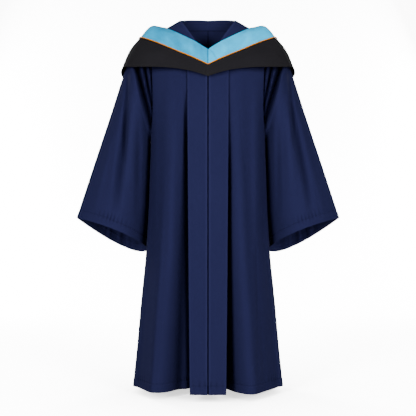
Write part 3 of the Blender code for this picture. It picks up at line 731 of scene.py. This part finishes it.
def pleat_section(band, fall):
    """The turned part of a front at each drop, from the facing inside its edge to the back of its pleat.

    It runs along the facing to the rolled edge at the centre, out along the band, round the
    band's edge, in behind it, round again and out.
    """
    turn, roll = PLEAT_TURN, EDGE_ROLL
    rows = len(band)
    facing_out = np.broadcast_to(np.linspace(0.030, EDGE_GAP + roll, 6)[None, :], (rows, 6))
    facing_behind = np.full((rows, 6), 2 * roll)
    bend = np.linspace(2.8, 0.3, 9)[None, :]
    roll_out = np.broadcast_to(EDGE_GAP + roll - roll * np.sin(bend), (rows, 9))
    roll_behind = np.broadcast_to(roll - roll * np.cos(bend), (rows, 9))
    spread = np.linspace(0.0, 1.0, 22)[None, :]
    face_out = EDGE_GAP + roll + (band - turn - EDGE_GAP - roll)[:, None] * spread
    proud = 0.0004 * bump_across(face_out - 0.005, 0.005)
    proud = proud + 0.0006 * bump_across(band[:, None] - 0.006 - face_out, 0.006)
    round_edge = np.linspace(0.3, 2.6, 9)[None, :]
    edge_out = (band - turn)[:, None] + turn * np.sin(round_edge)
    edge_behind = np.broadcast_to(turn - turn * np.cos(round_edge), edge_out.shape)
    inner, back = band - PLEAT_TUCK, 2 * turn + fall
    part = np.linspace(0.06, 0.94, 12)[None, :]
    from_out, to_out = (band - 2 * turn)[:, None], (inner + turn)[:, None]
    behind_out = from_out + (to_out - from_out) * part
    behind = 2 * turn + fall[:, None] * ease(0.0, 1.0, part)
    curl = np.linspace(0.3, 2.8, 9)[None, :]
    tuck_out = (inner + turn)[:, None] - turn * np.sin(curl)
    tuck_behind = back[:, None] + turn - turn * np.cos(curl)
    last_out = inner[:, None] + 2 * turn + (PLEAT_TUCK - 3 * turn) * np.linspace(0.0, 1.0, 6)[None, :]
    last_behind = np.broadcast_to((back + 2 * turn)[:, None], (rows, 6))
    out = np.concatenate([facing_out, roll_out, face_out, edge_out, behind_out, tuck_out, last_out], axis=1)
    depth = np.concatenate(
        [facing_behind, roll_behind, -proud, edge_behind, behind, tuck_behind, last_behind], axis=1
    )
    return out, depth


def front_surface(side):
    """A front panel: the faced edge, the band, its pleat, then out to the armhole and the side seam."""
    drops = FRONT_DROPS
    wide = ring("wide", drops)
    band = smooth_line(BAND_DROPS, BAND_HALVES, drops)
    begins, full, deep = RECESS[side]
    recess = deep * ease(begins, full, drops)
    fall = recess - front_lift(side, band / wide, drops)
    out, behind = pleat_section(band, fall)
    drop = drops[:, None]
    pleat = placed(out, ring_depth(out, drop, "front") - behind, drop, "front")
    share = np.linspace(0.0, 1.0, 84)[None, 1:]
    start = ring_angle(out[:, -1], drops)[:, None]
    angle = start + (outer_angle(drops)[:, None] - start) * share
    panel_out = wide[:, None] * np.sin(angle) ** (2 / ROUND)
    depth = ring_depth(panel_out, drop, "front")
    depth -= 4 * PLEAT_TURN * (1 - ease(0.0, 0.025, panel_out - out[:, -1:]))
    depth -= recess[:, None] * (1 - ease(0.0, 0.017, panel_out - out[:, -1:]))
    at_edge = ease(0.0, 0.04, 1 - share)
    depth += front_lift(side, panel_out / wide[:, None], drop) * at_edge
    soft_folds = line_folds(FRONT_FOLDS[side], panel_out, drop) * at_edge
    depth += soft_folds
    points = np.concatenate([pleat, placed(panel_out, depth, drop, "front")], axis=1)
    columns = np.arange(points.shape[1])
    run = run_along(points[-1], 0)[None, :]
    in_turn = (columns >= FACE_TO) & (columns < PLEAT_END)
    shown = np.where((columns < FACE_FROM) | in_turn, 0.0, 1.0)
    raised, painted_hem_shade = hem_work(LENGTH - drop, run)
    shown = shown * np.clip((columns[-1] - columns) / 6.0, 0.0, 1.0)
    points = points - normals_of(points) * (raised * shown)[..., None]
    points[:, -1, 1] = np.minimum(points[:, -1, 1], 0.0)
    from_centre, from_band_edge = points[..., 0] - EDGE_GAP, band[:, None] - points[..., 0]
    on_band = np.where((columns >= FACE_FROM - 2) & (columns < FACE_TO + 4), 1.0, 0.0)
    # A highlight is painted along the centre edge and along the band's edge.
    painted_light = bump_across(from_centre - 0.003, 0.004) + 0.8 * bump_across(from_band_edge - 0.002, 0.004)
    # Painted shade deep in the slot behind the centre edge and in the pleat's turn behind the band.
    in_shadow = np.where((columns >= FACE_TO + 6) & (columns < PLEAT_END + 3), 1.0, 0.0)
    painted_light_and_shade = on_band * painted_light - np.where(columns < FACE_FROM - 3, 2.8, in_shadow)
    # Painted highlight and painted shade follow the soft folds; the wearer's right panel is painted a
    # little darker.
    painted_light_and_shade[:, PLEAT_END:] += 75.0 * soft_folds - (0.22 if side == "right" else 0.0)
    # The hem's painted shade is added where the hem shows.
    return points, painted_light_and_shade + painted_hem_shade * shown


panel_ends = ((np.s_[0, :], 2), (np.s_[FRONT_ARMHOLE_ROWS:, -1], 1))
for side in ("left", "right"):
    front_points, front_painted_light = front_surface(side)
    front_normal = -normals_of(front_points)
    up_hem = LENGTH + front_points[..., 2]
    hem_line, hem_normal = line_across(
        front_points[::-1], up_hem[::-1], HEM_TURNED_UP, front_normal[::-1], GOWN_WALL / 2
    )
    on_face, on_panel = np.s_[FACE_FROM + 2 : FACE_TO - 1], np.s_[PLEAT_END + 3 :]
    hem_rows = [(hem_line[span], hem_normal[span]) for span in (on_face, on_panel)]
    stitch_row("front_hem_stitching_" + side, hem_rows, navy_cloth, side)
    front = cloth_piece(
        "front_cloth_" + side, front_points, GOWN_WALL, navy_cloth, panel_ends,
        side=side, painted_light_and_shade=front_painted_light
    )
    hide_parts("front_" + side)
    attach(front, "root")


# The fronts close over a narrow placket, which is sewn inside the wearer's right front and
# lies behind the left one's edge.

PLACKET_BEHIND = 0.0050

placket_drop = FRONT_DROPS[:, None]
placket_out = np.linspace(-0.022, 0.014, 12)[None, :]
placket_depth = ring_depth(np.abs(placket_out), placket_drop, "front") - PLACKET_BEHIND
placket_points = placed(np.abs(placket_out), placket_depth, placket_drop, "front")
placket_points[..., 0] *= np.sign(placket_out)
# The placket is painted dark all over: painted shade in the slot between the fronts.
placket = cloth_piece("placket_cloth", placket_points, 0.0010, navy_cloth, painted_light_and_shade=-3.4)
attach(placket, "root")


# Each back is a plain width from the centre back seam to the side seam, eased into the yoke,
# so that it falls in soft uneven flutes which deepen towards the hem.

BACK_ARMHOLE_ROWS = 44
BACK_COLUMNS = 110

# A flute is its place at the top and at the hem and half of its width, each as a share of
# the way round from the centre to the side seam, its depth at the hem, and the drop where
# it begins.

BACK_FOLDS = {
    "left": (
        (0.10, 0.08, 0.10, -0.014, 0.20), (0.28, 0.26, 0.12, 0.016, 0.20), (0.46, 0.47, 0.11, -0.020, 0.25),
        (0.64, 0.67, 0.12, 0.014, 0.35), (0.84, 0.85, 0.10, -0.012, 0.50), (0.37, 0.36, 0.05, 0.003, 0.18),
    ),
    "right": (
        (0.12, 0.11, 0.11, -0.018, 0.20), (0.31, 0.31, 0.11, 0.015, 0.25), (0.49, 0.51, 0.11, -0.016, 0.20),
        (0.67, 0.69, 0.11, 0.016, 0.40), (0.85, 0.87, 0.09, -0.010, 0.50), (0.22, 0.20, 0.05, 0.003, 0.18),
    ),
}


def back_surface(side):
    """A back panel: the ring with its flutes, each a raised cosine that grows from its start to the hem."""
    drop = panel_drops(YOKE_BACK_DROP, BACK_ARMHOLE_ROWS, 130)[:, None]
    share = np.linspace(0.0, 1.0, BACK_COLUMNS)[None, :]
    out = ring("wide", drop) * np.sin(share * outer_angle(drop)) ** (2 / ROUND)
    lift = np.zeros(out.shape)
    for top, hem, half, depth, begins in BACK_FOLDS[side]:
        down = np.clip((drop - begins) / (LENGTH - begins), 0.0, 1.0)
        lift += depth * down**0.8 * bump_across(share - (top + (hem - top) * drop / LENGTH), half)
    lift *= ease(0.0, 0.06, share) * ease(0.0, 0.08, 1 - share)
    points = placed(out, ring_depth(out, drop, "back") + lift, drop, "back")
    run = run_along(points[-1], 0)[None, :]
    raised, painted_hem_shade = hem_work(LENGTH - drop, run + 0.3)
    free = np.clip((BACK_COLUMNS - 1 - np.arange(BACK_COLUMNS)) / 6.0, 0.0, 1.0)[None, :]
    points = points + normals_of(points) * (raised * free)[..., None]
    points[:, 0, 0] = 0.0
    points[:, -1, 1] = np.maximum(points[:, -1, 1], 0.0)
    # Painted shade in the hollows of the flutes, with the hem's painted shade.
    return points, painted_hem_shade + 20.0 * np.minimum(lift, 0.0)


back_ends = ((np.s_[0, :], 2), (np.s_[:, 0], 0), (np.s_[BACK_ARMHOLE_ROWS:, -1], 1))
for side in ("left", "right"):
    back_points, back_painted_light = back_surface(side)
    up_hem = LENGTH + back_points[..., 2]
    hem_row = line_across(
        back_points[::-1], up_hem[::-1], HEM_TURNED_UP, normals_of(back_points)[::-1], GOWN_WALL / 2
    )
    stitch_row("back_hem_stitching_" + side, [hem_row], navy_cloth, side)
    back = cloth_piece(
        "back_cloth_" + side, back_points, GOWN_WALL, navy_cloth, back_ends, side=side, painted_light_and_shade=back_painted_light
    )
    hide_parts("back_" + side)
    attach(back, "root")


# Each sleeve is one bell of cloth, creased down the top of the arm and round under it, and
# sewn to the armhole. It hangs empty, so it folds beside the armhole, and its cuff is turned
# up and stitched.

# The sleeve at shares of its length: its lines over and under the arm, its reach to the front
# and the back between them, how far its front is pulled up and its back hangs down where
# each is fullest, and how far the underarm line falls behind the side of the body. The folds
# of each half are as line_folds takes them.

SLEEVE = {
    "share": (0.00, 0.06, 0.14, 0.24, 0.45, 0.70, 1.00),
    "over_out": (0.1975, 0.222, 0.2470, 0.2680, 0.3085, 0.3595, 0.4200),
    "over_drop": (0.0655, 0.080, 0.1120, 0.1700, 0.2950, 0.4480, 0.6320),
    "under_out": (0.1885, 0.1865, 0.1840, 0.1830, 0.1820, 0.1850, 0.1985),
    "under_drop": (0.3720, 0.3860, 0.4050, 0.4300, 0.5000, 0.6050, 0.7320),
    "front": (0.066, 0.076, 0.085, 0.092, 0.096, 0.098, 0.099),
    "back": (0.066, 0.073, 0.078, 0.082, 0.087, 0.092, 0.096),
    "raise": (0.000, 0.000, 0.002, 0.005, 0.010, 0.016, 0.023),
    "hang": (0.000, 0.000, 0.002, 0.006, 0.014, 0.023, 0.034),
    "behind": (0.000, 0.018, 0.035, 0.048, 0.060, 0.064, 0.062),
}
SLEEVE_FOLDS = {
    ("left", "front"): (
        (0.2540, 0.050, 0.1680, 0.370, 0.0150, -0.036), (0.2085, 0.110, 0.1735, 0.300, 0.0100, -0.025),
        (0.2560, 0.110, 0.272, 0.420, 0.0130, -0.0105), (0.262, 0.260, 0.330, 0.640, 0.0220, -0.013),
        (0.2500, 0.240, 0.262, 0.560, 0.0260, 0.008), (0.216, 0.300, 0.222, 0.620, 0.0140, -0.004),
        (0.3000, 0.360, 0.372, 0.640, 0.0160, 0.003), (0.226, 0.130, 0.194, 0.270, 0.0080, 0.004),
    ),
    ("left", "back"): (
        (0.2360, 0.090, 0.190, 0.340, 0.0120, -0.014), (0.258, 0.170, 0.292, 0.520, 0.0180, -0.011),
        (0.2400, 0.240, 0.236, 0.620, 0.0280, 0.009), (0.225, 0.400, 0.262, 0.760, 0.0200, -0.010),
        (0.3000, 0.360, 0.350, 0.700, 0.0160, 0.004), (0.290, 0.480, 0.306, 0.790, 0.0100, -0.005),
        (0.3200, 0.480, 0.342, 0.770, 0.0100, -0.005), (0.262, 0.520, 0.276, 0.800, 0.0090, -0.004),
    ),
    ("right", "front"): (
        (0.2500, 0.045, 0.1690, 0.380, 0.0150, -0.036), (0.2085, 0.108, 0.1745, 0.298, 0.0100, -0.025),
        (0.2540, 0.090, 0.264, 0.460, 0.0130, -0.0110), (0.259, 0.280, 0.292, 0.650, 0.0220, -0.014),
        (0.2380, 0.240, 0.241, 0.540, 0.0260, 0.008), (0.212, 0.320, 0.224, 0.640, 0.0140, -0.004),
        (0.3000, 0.350, 0.360, 0.620, 0.0180, 0.003), (0.214, 0.130, 0.192, 0.270, 0.0080, 0.004),
    ),
    ("right", "back"): (
        (0.2320, 0.090, 0.192, 0.360, 0.0120, -0.015), (0.256, 0.180, 0.300, 0.560, 0.0180, -0.011),
        (0.2360, 0.260, 0.246, 0.600, 0.0280, 0.009), (0.220, 0.380, 0.250, 0.760, 0.0200, -0.010),
        (0.2960, 0.340, 0.360, 0.700, 0.0160, 0.004), (0.284, 0.470, 0.296, 0.790, 0.0100, -0.005),
        (0.3140, 0.480, 0.330, 0.780, 0.0100, -0.005), (0.256, 0.520, 0.268, 0.800, 0.0090, -0.004),
    ),
}


# The sleeve is sewn this far outside the armhole's edge, and a little more at the underarm.

ARMHOLE_GAP = 0.0009
UNDERARM_GAP = 0.0015


def sleeve_half(side, face, along, turn):
    """The front or back of a sleeve, at shares of its length and of the turn under the arm.

    Between the over-arm and underarm lines it bulges by a power curve that is 1 at its
    fullest, and the underarm line falls behind the side of the body. It leaves the armhole's
    own edge by a smooth blend, dips beside that seam, and takes its folds last. A highlight
    is painted on the folds' ridges, and shade is painted in their deeps and beside the armhole seam.
    """
    size = {name: smooth_line(SLEEVE["share"], SLEEVE[name], along) for name in SLEEVE if name != "share"}
    across = (1 - np.cos(math.pi * turn)) / 2
    creased, rounded = 1.0 - 0.45 * (1 - ease(0.0, 0.35, along)), 0.55
    fullest = creased / (creased + rounded)
    bulge = across**creased * (1 - across) ** rounded / (fullest**creased * (1 - fullest) ** rounded)
    out = size["over_out"] + (size["under_out"] - size["over_out"]) * across
    drop = size["over_drop"] + (size["under_drop"] - size["over_drop"]) * across
    drop = drop + (size["hang"] if face == "back" else -size["raise"]) * bulge
    depth = size[face] * bulge + (size["behind"] if face == "back" else -size["behind"]) * across**2
    edge_out, edge_drop = armhole_out(turn), armhole_drop(turn)
    sewn_out = edge_out + ARMHOLE_GAP + UNDERARM_GAP * turn**3
    sewn = placed(sewn_out, ring_depth(edge_out, edge_drop, face), edge_drop, face)
    leaving = ease(0.0, 0.14, along)[..., None]
    points = sewn * (1 - leaving) + placed(out, depth, drop, face) * leaving
    inwards = 1.0 if face == "front" else -1.0
    dip = bump_across(along - 0.028, 0.030) * np.sin(math.pi * np.clip(turn * 1.12, 0.0, 1.0)) ** 0.8
    points[..., 1] += inwards * (0.014 if face == "front" else 0.009) * dip
    folded = line_folds(SLEEVE_FOLDS[side, face], points[..., 0], -points[..., 2])
    folded = folded * ease(0.0, 0.025, along) * np.minimum(1.0, 2 * bulge)
    # Painted light: a highlight on the folds' ridges, painted shade in their deeps, and painted shade
    # beside the armhole seam.
    beside_seam = bump_across(along - 0.028, 0.040) * (0.42 + 0.58 * ease(0.17, 0.26, -points[..., 2]))
    painted_light_and_shade = 28.0 * np.maximum(folded, 0.0) - 2.8 * ease(0.003, 0.022, -folded)
    painted_light_and_shade = painted_light_and_shade - (3.0 if face == "front" else 1.2) * beside_seam
    points[..., 1] -= inwards * folded
    return points, painted_light_and_shade


CUFF_FROM = 0.915


def sleeve_surface(side):
    """A sleeve as rings from the armhole to the cuff, with the cuff's turned-up edge raised on it."""
    to_cuff = CUFF_FROM * np.linspace(0.0, 1.0, 140) ** 1.30
    along = np.concatenate([to_cuff, np.linspace(CUFF_FROM, 1.0, HEM_ROWS + 1)[1:]])[:, None]
    turn = np.linspace(0.0, 1.0, 100)[None, :]
    front, front_painted_light = sleeve_half(side, "front", along, turn)
    back, back_painted_light = sleeve_half(side, "back", along, turn)
    points = np.concatenate([front, back[:, -2:0:-1]], axis=1)
    painted_light_and_shade = np.concatenate([front_painted_light, back_painted_light[:, -2:0:-1]], axis=1)
    steps = np.linalg.norm(np.diff(points, axis=0, append=points[-1:]), axis=-1)
    from_edge = np.cumsum(steps[::-1], axis=0)[::-1]
    run = run_along(points[-1], 0)[None, :]
    # The cuff's hem gets painted shade in its stitching groove and puckers.
    raised, painted_hem_shade = hem_work(from_edge, run + (0.105 if side == "left" else 0.0914), 1.4)
    return points + normals_of(points, closed=True) * raised[..., None], from_edge, painted_light_and_shade + painted_hem_shade


for side in ("left", "right"):
    sleeve_points, from_cuff, sleeve_painted_light = sleeve_surface(side)
    sleeve_normal = normals_of(sleeve_points, closed=True)
    cuff_row = line_across(
        sleeve_points[::-1], from_cuff[::-1], HEM_TURNED_UP, sleeve_normal[::-1], GOWN_WALL / 2
    )
    stitch_row("cuff_stitching_" + side, [cuff_row], navy_cloth, side)
    sleeve = cloth_piece(
        "sleeve_cloth_" + side, sleeve_points, GOWN_WALL, navy_cloth,
        closed=True, side=side, painted_light_and_shade=sleeve_painted_light
    )
    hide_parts("sleeve_" + side)
    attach(sleeve, "root")


# A facing of the same cloth lines the back of the neck and shows inside it. It is sewn to the
# yokes at the neck's edge and lies just inside them.

FACING_INSET = 0.0022

across = np.linspace(-1.0, 1.0, 90)[None, :]
down = np.linspace(0.0, 1.0, 16)[:, None]
facing_out = np.abs(across) * (NECK_HALF - 0.008)
facing_top = NECK_BACK_DROP * (1 - np.abs(across) ** 3) + 0.014 * np.abs(across) ** 3
facing_drop = facing_top + (0.0225 + 0.003 * np.abs(across) - facing_top) * down
facing_points = placed(facing_out, ring_depth(facing_out, facing_drop, "back"), facing_drop, "back")
facing_points[..., 0] *= np.sign(across)
facing_points -= normals_of(facing_points) * FACING_INSET
# Painted light: the facing a little lighter, with a painted shadow along its lower edge.
facing_painted_light = 0.30 - 2.6 * bump_across(down - 1.0, 0.10)
facing = cloth_piece("neck_facing_cloth", facing_points, 0.0010, navy_cloth, painted_light_and_shade=facing_painted_light)
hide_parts("neck_facing")
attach(facing, "root")


# The hood lies round the shoulders in a stiff roll: a lining of sky blue satin inside, a
# shell of black cloth outside, and a thin orange piping sewn in between them. Both halves
# meet at a mitred seam in front and at a seam down the back.

# The hood by the angle round the neck, 0 at the front: radius and drop of its upper edge, of
# the ridge where it rolls over, of the piped seam, of the shell's middle and its lower edge.

HOOD = {
    "angle": (0, 20, 45, 70, 80, 90, 110, 135, 160, 180),
    "upper_out": (0.106, 0.103, 0.110, 0.133, 0.1375, 0.137, 0.133, 0.122, 0.116, 0.114),
    "upper_drop": (0.1095, 0.086, 0.062, 0.0355, 0.0275, 0.0250, 0.034, 0.073, 0.122, 0.142),
    "ridge_out": (0.117, 0.118, 0.135, 0.170, 0.180, 0.183, 0.174, 0.147, 0.133, 0.130),
    "ridge_drop": (0.1305, 0.108, 0.081, 0.042, 0.028, 0.0195, 0.032, 0.092, 0.172, 0.212),
    "seam_out": (0.126, 0.130, 0.146, 0.184, 0.211, 0.2185, 0.209, 0.172, 0.150, 0.143),
    "seam_drop": (0.1595, 0.138, 0.111, 0.077, 0.062, 0.0590, 0.079, 0.155, 0.262, 0.325),
    "middle_out": (0.1300, 0.1355, 0.160, 0.227, 0.244, 0.2510, 0.243, 0.194, 0.161, 0.151),
    "middle_drop": (0.176, 0.159, 0.138, 0.110, 0.102, 0.1000, 0.132, 0.220, 0.342, 0.410),
    "lower_out": (0.1305, 0.138, 0.165, 0.247, 0.269, 0.2785, 0.267, 0.212, 0.169, 0.157),
    "lower_drop": (0.196, 0.181, 0.168, 0.161, 0.156, 0.1670, 0.203, 0.290, 0.422, 0.495),
}
HOOD_SHARES = {"upper": 0.0, "ridge": 0.27, "seam": 0.50, "middle": 0.74, "lower": 1.0}
HOOD_WALL = 0.0016


def hood_surface(shares, degrees):
    """The left half of the hood, at shares of the way down it and angles round the neck.

    Each section is a smooth line through the hood's five lines at that angle.
    """
    turn = np.radians(degrees)
    lines = []
    for name in HOOD_SHARES:
        radius = smooth_line(HOOD["angle"], HOOD[name + "_out"], degrees)
        drop = smooth_line(HOOD["angle"], HOOD[name + "_drop"], degrees)
        lines.append(np.stack([radius * np.sin(turn), -radius * np.cos(turn), -drop], axis=-1))
    lines = np.array(lines)
    knots = np.array(list(HOOD_SHARES.values()))
    slopes = np.gradient(lines, knots, axis=0)
    low = np.clip(np.searchsorted(knots, shares, side="right") - 1, 0, len(knots) - 2)
    step = (knots[low + 1] - knots[low])[:, None, None]
    part = ((shares - knots[low]) / (knots[low + 1] - knots[low]))[:, None, None]
    points = ((1 + 2 * part) * (1 - part) ** 2 * lines[low] + part * (1 - part) ** 2 * step * slopes[low]
              + part**2 * (part - 1) * step * slopes[low + 1] + part**2 * (3 - 2 * part) * lines[low + 1])
    points[..., 0] = np.maximum(points[..., 0], 0.0)
    return points


def hood_creases(creases, shares, degrees):
    """Sum of the hood's creases: each a raised cosine about a line from one angle and share to another."""
    lift = np.zeros((len(shares), len(degrees)))
    for from_angle, from_share, to_angle, to_share, half, depth in creases:
        part = (shares[:, None] - from_share) / (to_share - from_share)
        place = from_angle + (to_angle - from_angle) * part
        fade = np.sin(math.pi * np.clip(part, 0.0, 1.0)) ** 0.6
        lift += depth * fade * bump_across(degrees[None, :] - place, half)
    return lift


sky_blue_satin = woven(
    "sky_blue_satin", thread=(0.000, 0.57, 1.00, 1.0), shadow=(0.000, 0.17, 0.36, 1.0),
    threads=2600.0, roughness=0.36, slub=0.18, cast=(1.10, 15.0), sheen=0.02, bump=0.10,
    specular=0.50, tint=(0.02, 0.70, 1.0, 1.0)
)
black_cloth = woven(
    "black_cloth", thread=(0.0130, 0.0122, 0.0146, 1.0), shadow=(0.0075, 0.0070, 0.0086, 1.0),
    threads=1400.0, roughness=0.88, slub=0.22, cast=(0.25, 9.0), sheen=0.02, bump=0.25, specular=0.05
)

# A crease runs from one angle and share to another, then come half of its width in degrees
# and its depth midway.

LINING_CREASES = {
    "left": (
        (0.5, -0.03, 14, 0.52, 2.4, -0.0026), (20, 0.02, 26, 0.40, 6.0, 0.0012),
        (38, 0.00, 30, 0.50, 9.0, -0.0016), (62, 0.05, 52, 0.50, 9.0, 0.0015),
        (118, 0.02, 126, 0.50, 8.0, -0.0020), (150, 0.04, 154, 0.5, 7.0, 0.0015),
    ),
    "right": (
        (12, 0.02, 7, 0.46, 4.0, -0.0012), (30, 0.00, 22, 0.50, 7.0, 0.0016),
        (50, 0.03, 41, 0.50, 8.0, -0.0014), (72, 0.05, 64, 0.50, 9.0, -0.0014),
        (112, 0.02, 122, 0.50, 9.0, -0.0020), (146, 0.04, 152, 0.5, 7.0, 0.0015),
    ),
}
SHELL_CREASES = {
    "left": (
        (30, 0.50, 38, 1.02, 9.0, 0.0012), (58, 0.50, 63, 1.02, 8.0, -0.0014),
        (96, 0.50, 99, 1.02, 9.0, -0.0022), (122, 0.50, 126, 1.02, 8.0, 0.0020),
        (150, 0.50, 152, 1.02, 7.0, -0.0018),
    ),
    "right": (
        (24, 0.50, 31, 1.02, 8.0, -0.0011), (52, 0.50, 60, 1.02, 9.0, 0.0014),
        (100, 0.50, 103, 1.02, 9.0, -0.0022), (126, 0.50, 130, 1.02, 8.0, 0.0020),
        (154, 0.50, 155, 1.02, 7.0, -0.0018),
    ),
}
HOOD_STITCHED_AT = 0.007
LINING_ENDS_AT = 0.493
SHELL_STARTS_AT = 0.507
hood_degrees = np.linspace(0.0, 180.0, 221)
hood_ends = ((np.s_[:, 0], 0), (np.s_[:, -1], 0))
for side in ("left", "right"):
    lining_shares = np.linspace(0.0, LINING_ENDS_AT, 46)
    lining_points = hood_surface(lining_shares, hood_degrees)
    rolled = hood_creases(LINING_CREASES[side], lining_shares, hood_degrees)
    lining_points -= normals_of(lining_points) * rolled[..., None]
    lining_points[..., 0] = np.maximum(lining_points[..., 0], 0.0)
    # Painted sheen: the left half lighter, the right darker. Painted highlight and shade follow the
    # creases, and painted shade lies along the front seam and the upper edge.
    lining_painted_sheen_and_shade = (0.40 if side == "left" else -0.35) + 200.0 * rolled
    lining_painted_sheen_and_shade = lining_painted_sheen_and_shade - 1.8 * bump_across(hood_degrees, 1.3) - 0.9 * bump_across(lining_shares[:, None], 0.03)
    lining = cloth_piece(
        "hood_lining_satin_" + side, lining_points, HOOD_WALL, sky_blue_satin, hood_ends,
        side=side, painted_light_and_shade=lining_painted_sheen_and_shade
    )
    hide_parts("hood_lining_" + side)
    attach(lining, "root")

    shell_shares = np.linspace(SHELL_STARTS_AT, 1.0, 46)
    shell_points = hood_surface(shell_shares, hood_degrees)
    hung = hood_creases(SHELL_CREASES[side], shell_shares, hood_degrees)
    shell_points -= normals_of(shell_points) * hung[..., None]
    shell_points[..., 0] = np.maximum(shell_points[..., 0], 0.0)
    from_lower = run_along(shell_points[::-1], 0)
    shell_normal = -normals_of(shell_points)[::-1]
    edge_row = line_across(shell_points[::-1], from_lower, HOOD_STITCHED_AT, shell_normal, HOOD_WALL / 2)
    stitch_row("hood_edge_stitching_" + side, [edge_row], black_cloth, side)
    # Painted light: a highlight beside the front seam, painted highlight and shade along the creases, and a
    # painted shadow along the top under the piping.
    painted_seam_highlight = 0.5 * bump_across(hood_degrees - 1.0, 1.4)
    painted_light = 120.0 * hung + painted_seam_highlight - 1.2 * bump_across(shell_shares[:, None] - SHELL_STARTS_AT, 0.03)
    shell = cloth_piece(
        "hood_shell_cloth_" + side, shell_points, HOOD_WALL, black_cloth, hood_ends,
        side=side, painted_light_and_shade=painted_light
    )
    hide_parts("hood_shell_" + side)
    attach(shell, "root")


# The piping is a strip of orange satin folded over a fine cord and sewn into the hood's seam.
# It runs from the front point round the back to that point again, and its ends lie
# PIPING_START to each side of the centre.

PIPING_RADIUS = 0.0016
PIPING_LIFT = 0.0024
PIPING_START = 0.0012
SIDES = 12

orange_piping = woven(
    "orange_piping", thread=(0.70, 0.220, 0.001, 1.0), shadow=(0.52, 0.15, 0.001, 1.0),
    threads=2600.0, roughness=0.45, slub=0.15, cast=(0.20, 9.0), sheen=0.03, bump=0.15,
    specular=0.40, tint=(1.0, 0.45, 0.05, 1.0)
)


def tube_along(line, radius, sides):
    """A round tube of points about a path that bends gently, in rings square to the path."""
    along = np.gradient(line, axis=0)
    along /= np.linalg.norm(along, axis=1, keepdims=True)
    across = np.cross(along, (0.0, 0.0, 1.0))
    across /= np.linalg.norm(across, axis=1, keepdims=True)
    up = np.cross(across, along)
    turn = np.linspace(0.0, 2 * math.pi, sides, endpoint=False)[None, :, None]
    return line[:, None] + radius * (np.cos(turn) * across[:, None] + np.sin(turn) * up[:, None])


beside_seam = hood_surface(np.array((0.48, 0.50, 0.52)), hood_degrees)
seam_normal = normals_of(beside_seam)[1]
seam_normal[[0, -1], 0] = 0.0
seam_normal *= np.where(seam_normal[:, 2:] < 0, -1.0, 1.0)
seam_normal /= np.linalg.norm(seam_normal, axis=-1, keepdims=True)
piping_line = beside_seam[1] + seam_normal * PIPING_LIFT
piping_line[-1, 0] = 0.0
piping_line[0, 0] = PIPING_START
piping_line = np.concatenate([piping_line, piping_line[-2::-1] * (-1.0, 1.0, 1.0)])
rings = tube_along(piping_line, PIPING_RADIUS, SIDES)
quads = np.arange((len(rings) - 1) * SIDES)
beside = (quads // SIDES) * SIDES + (quads + 1) % SIDES
piping_mesh = bpy.data.meshes.new("hood_piping_satin")
faces = np.stack([quads, quads + SIDES, beside + SIDES, beside], axis=-1).tolist()
last_ring = range((len(rings) - 1) * SIDES, len(rings) * SIDES)
faces += [list(range(SIDES)), list(last_ring)[::-1]]
piping_mesh.from_pydata(rings.reshape(-1, 3), [], faces)
piping_layer = piping_mesh.uv_layers.new(name="cloth")
piping_run = run_along(piping_line, 0)
corner = np.zeros(len(piping_mesh.loops), dtype=np.int32)
piping_mesh.loops.foreach_get("vertex_index", corner)
piping_uv = np.stack([piping_run[corner // SIDES], (corner % SIDES) * 0.0007], axis=-1)
piping_layer.data.foreach_set("uv", piping_uv.astype(np.float32).ravel())
piping_mesh.shade_smooth()
piping_mesh.materials.append(orange_piping)
piping = bpy.data.objects.new("hood_piping_satin", piping_mesh)
bpy.context.collection.objects.link(piping)
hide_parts("hood_piping")
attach(piping, "root")
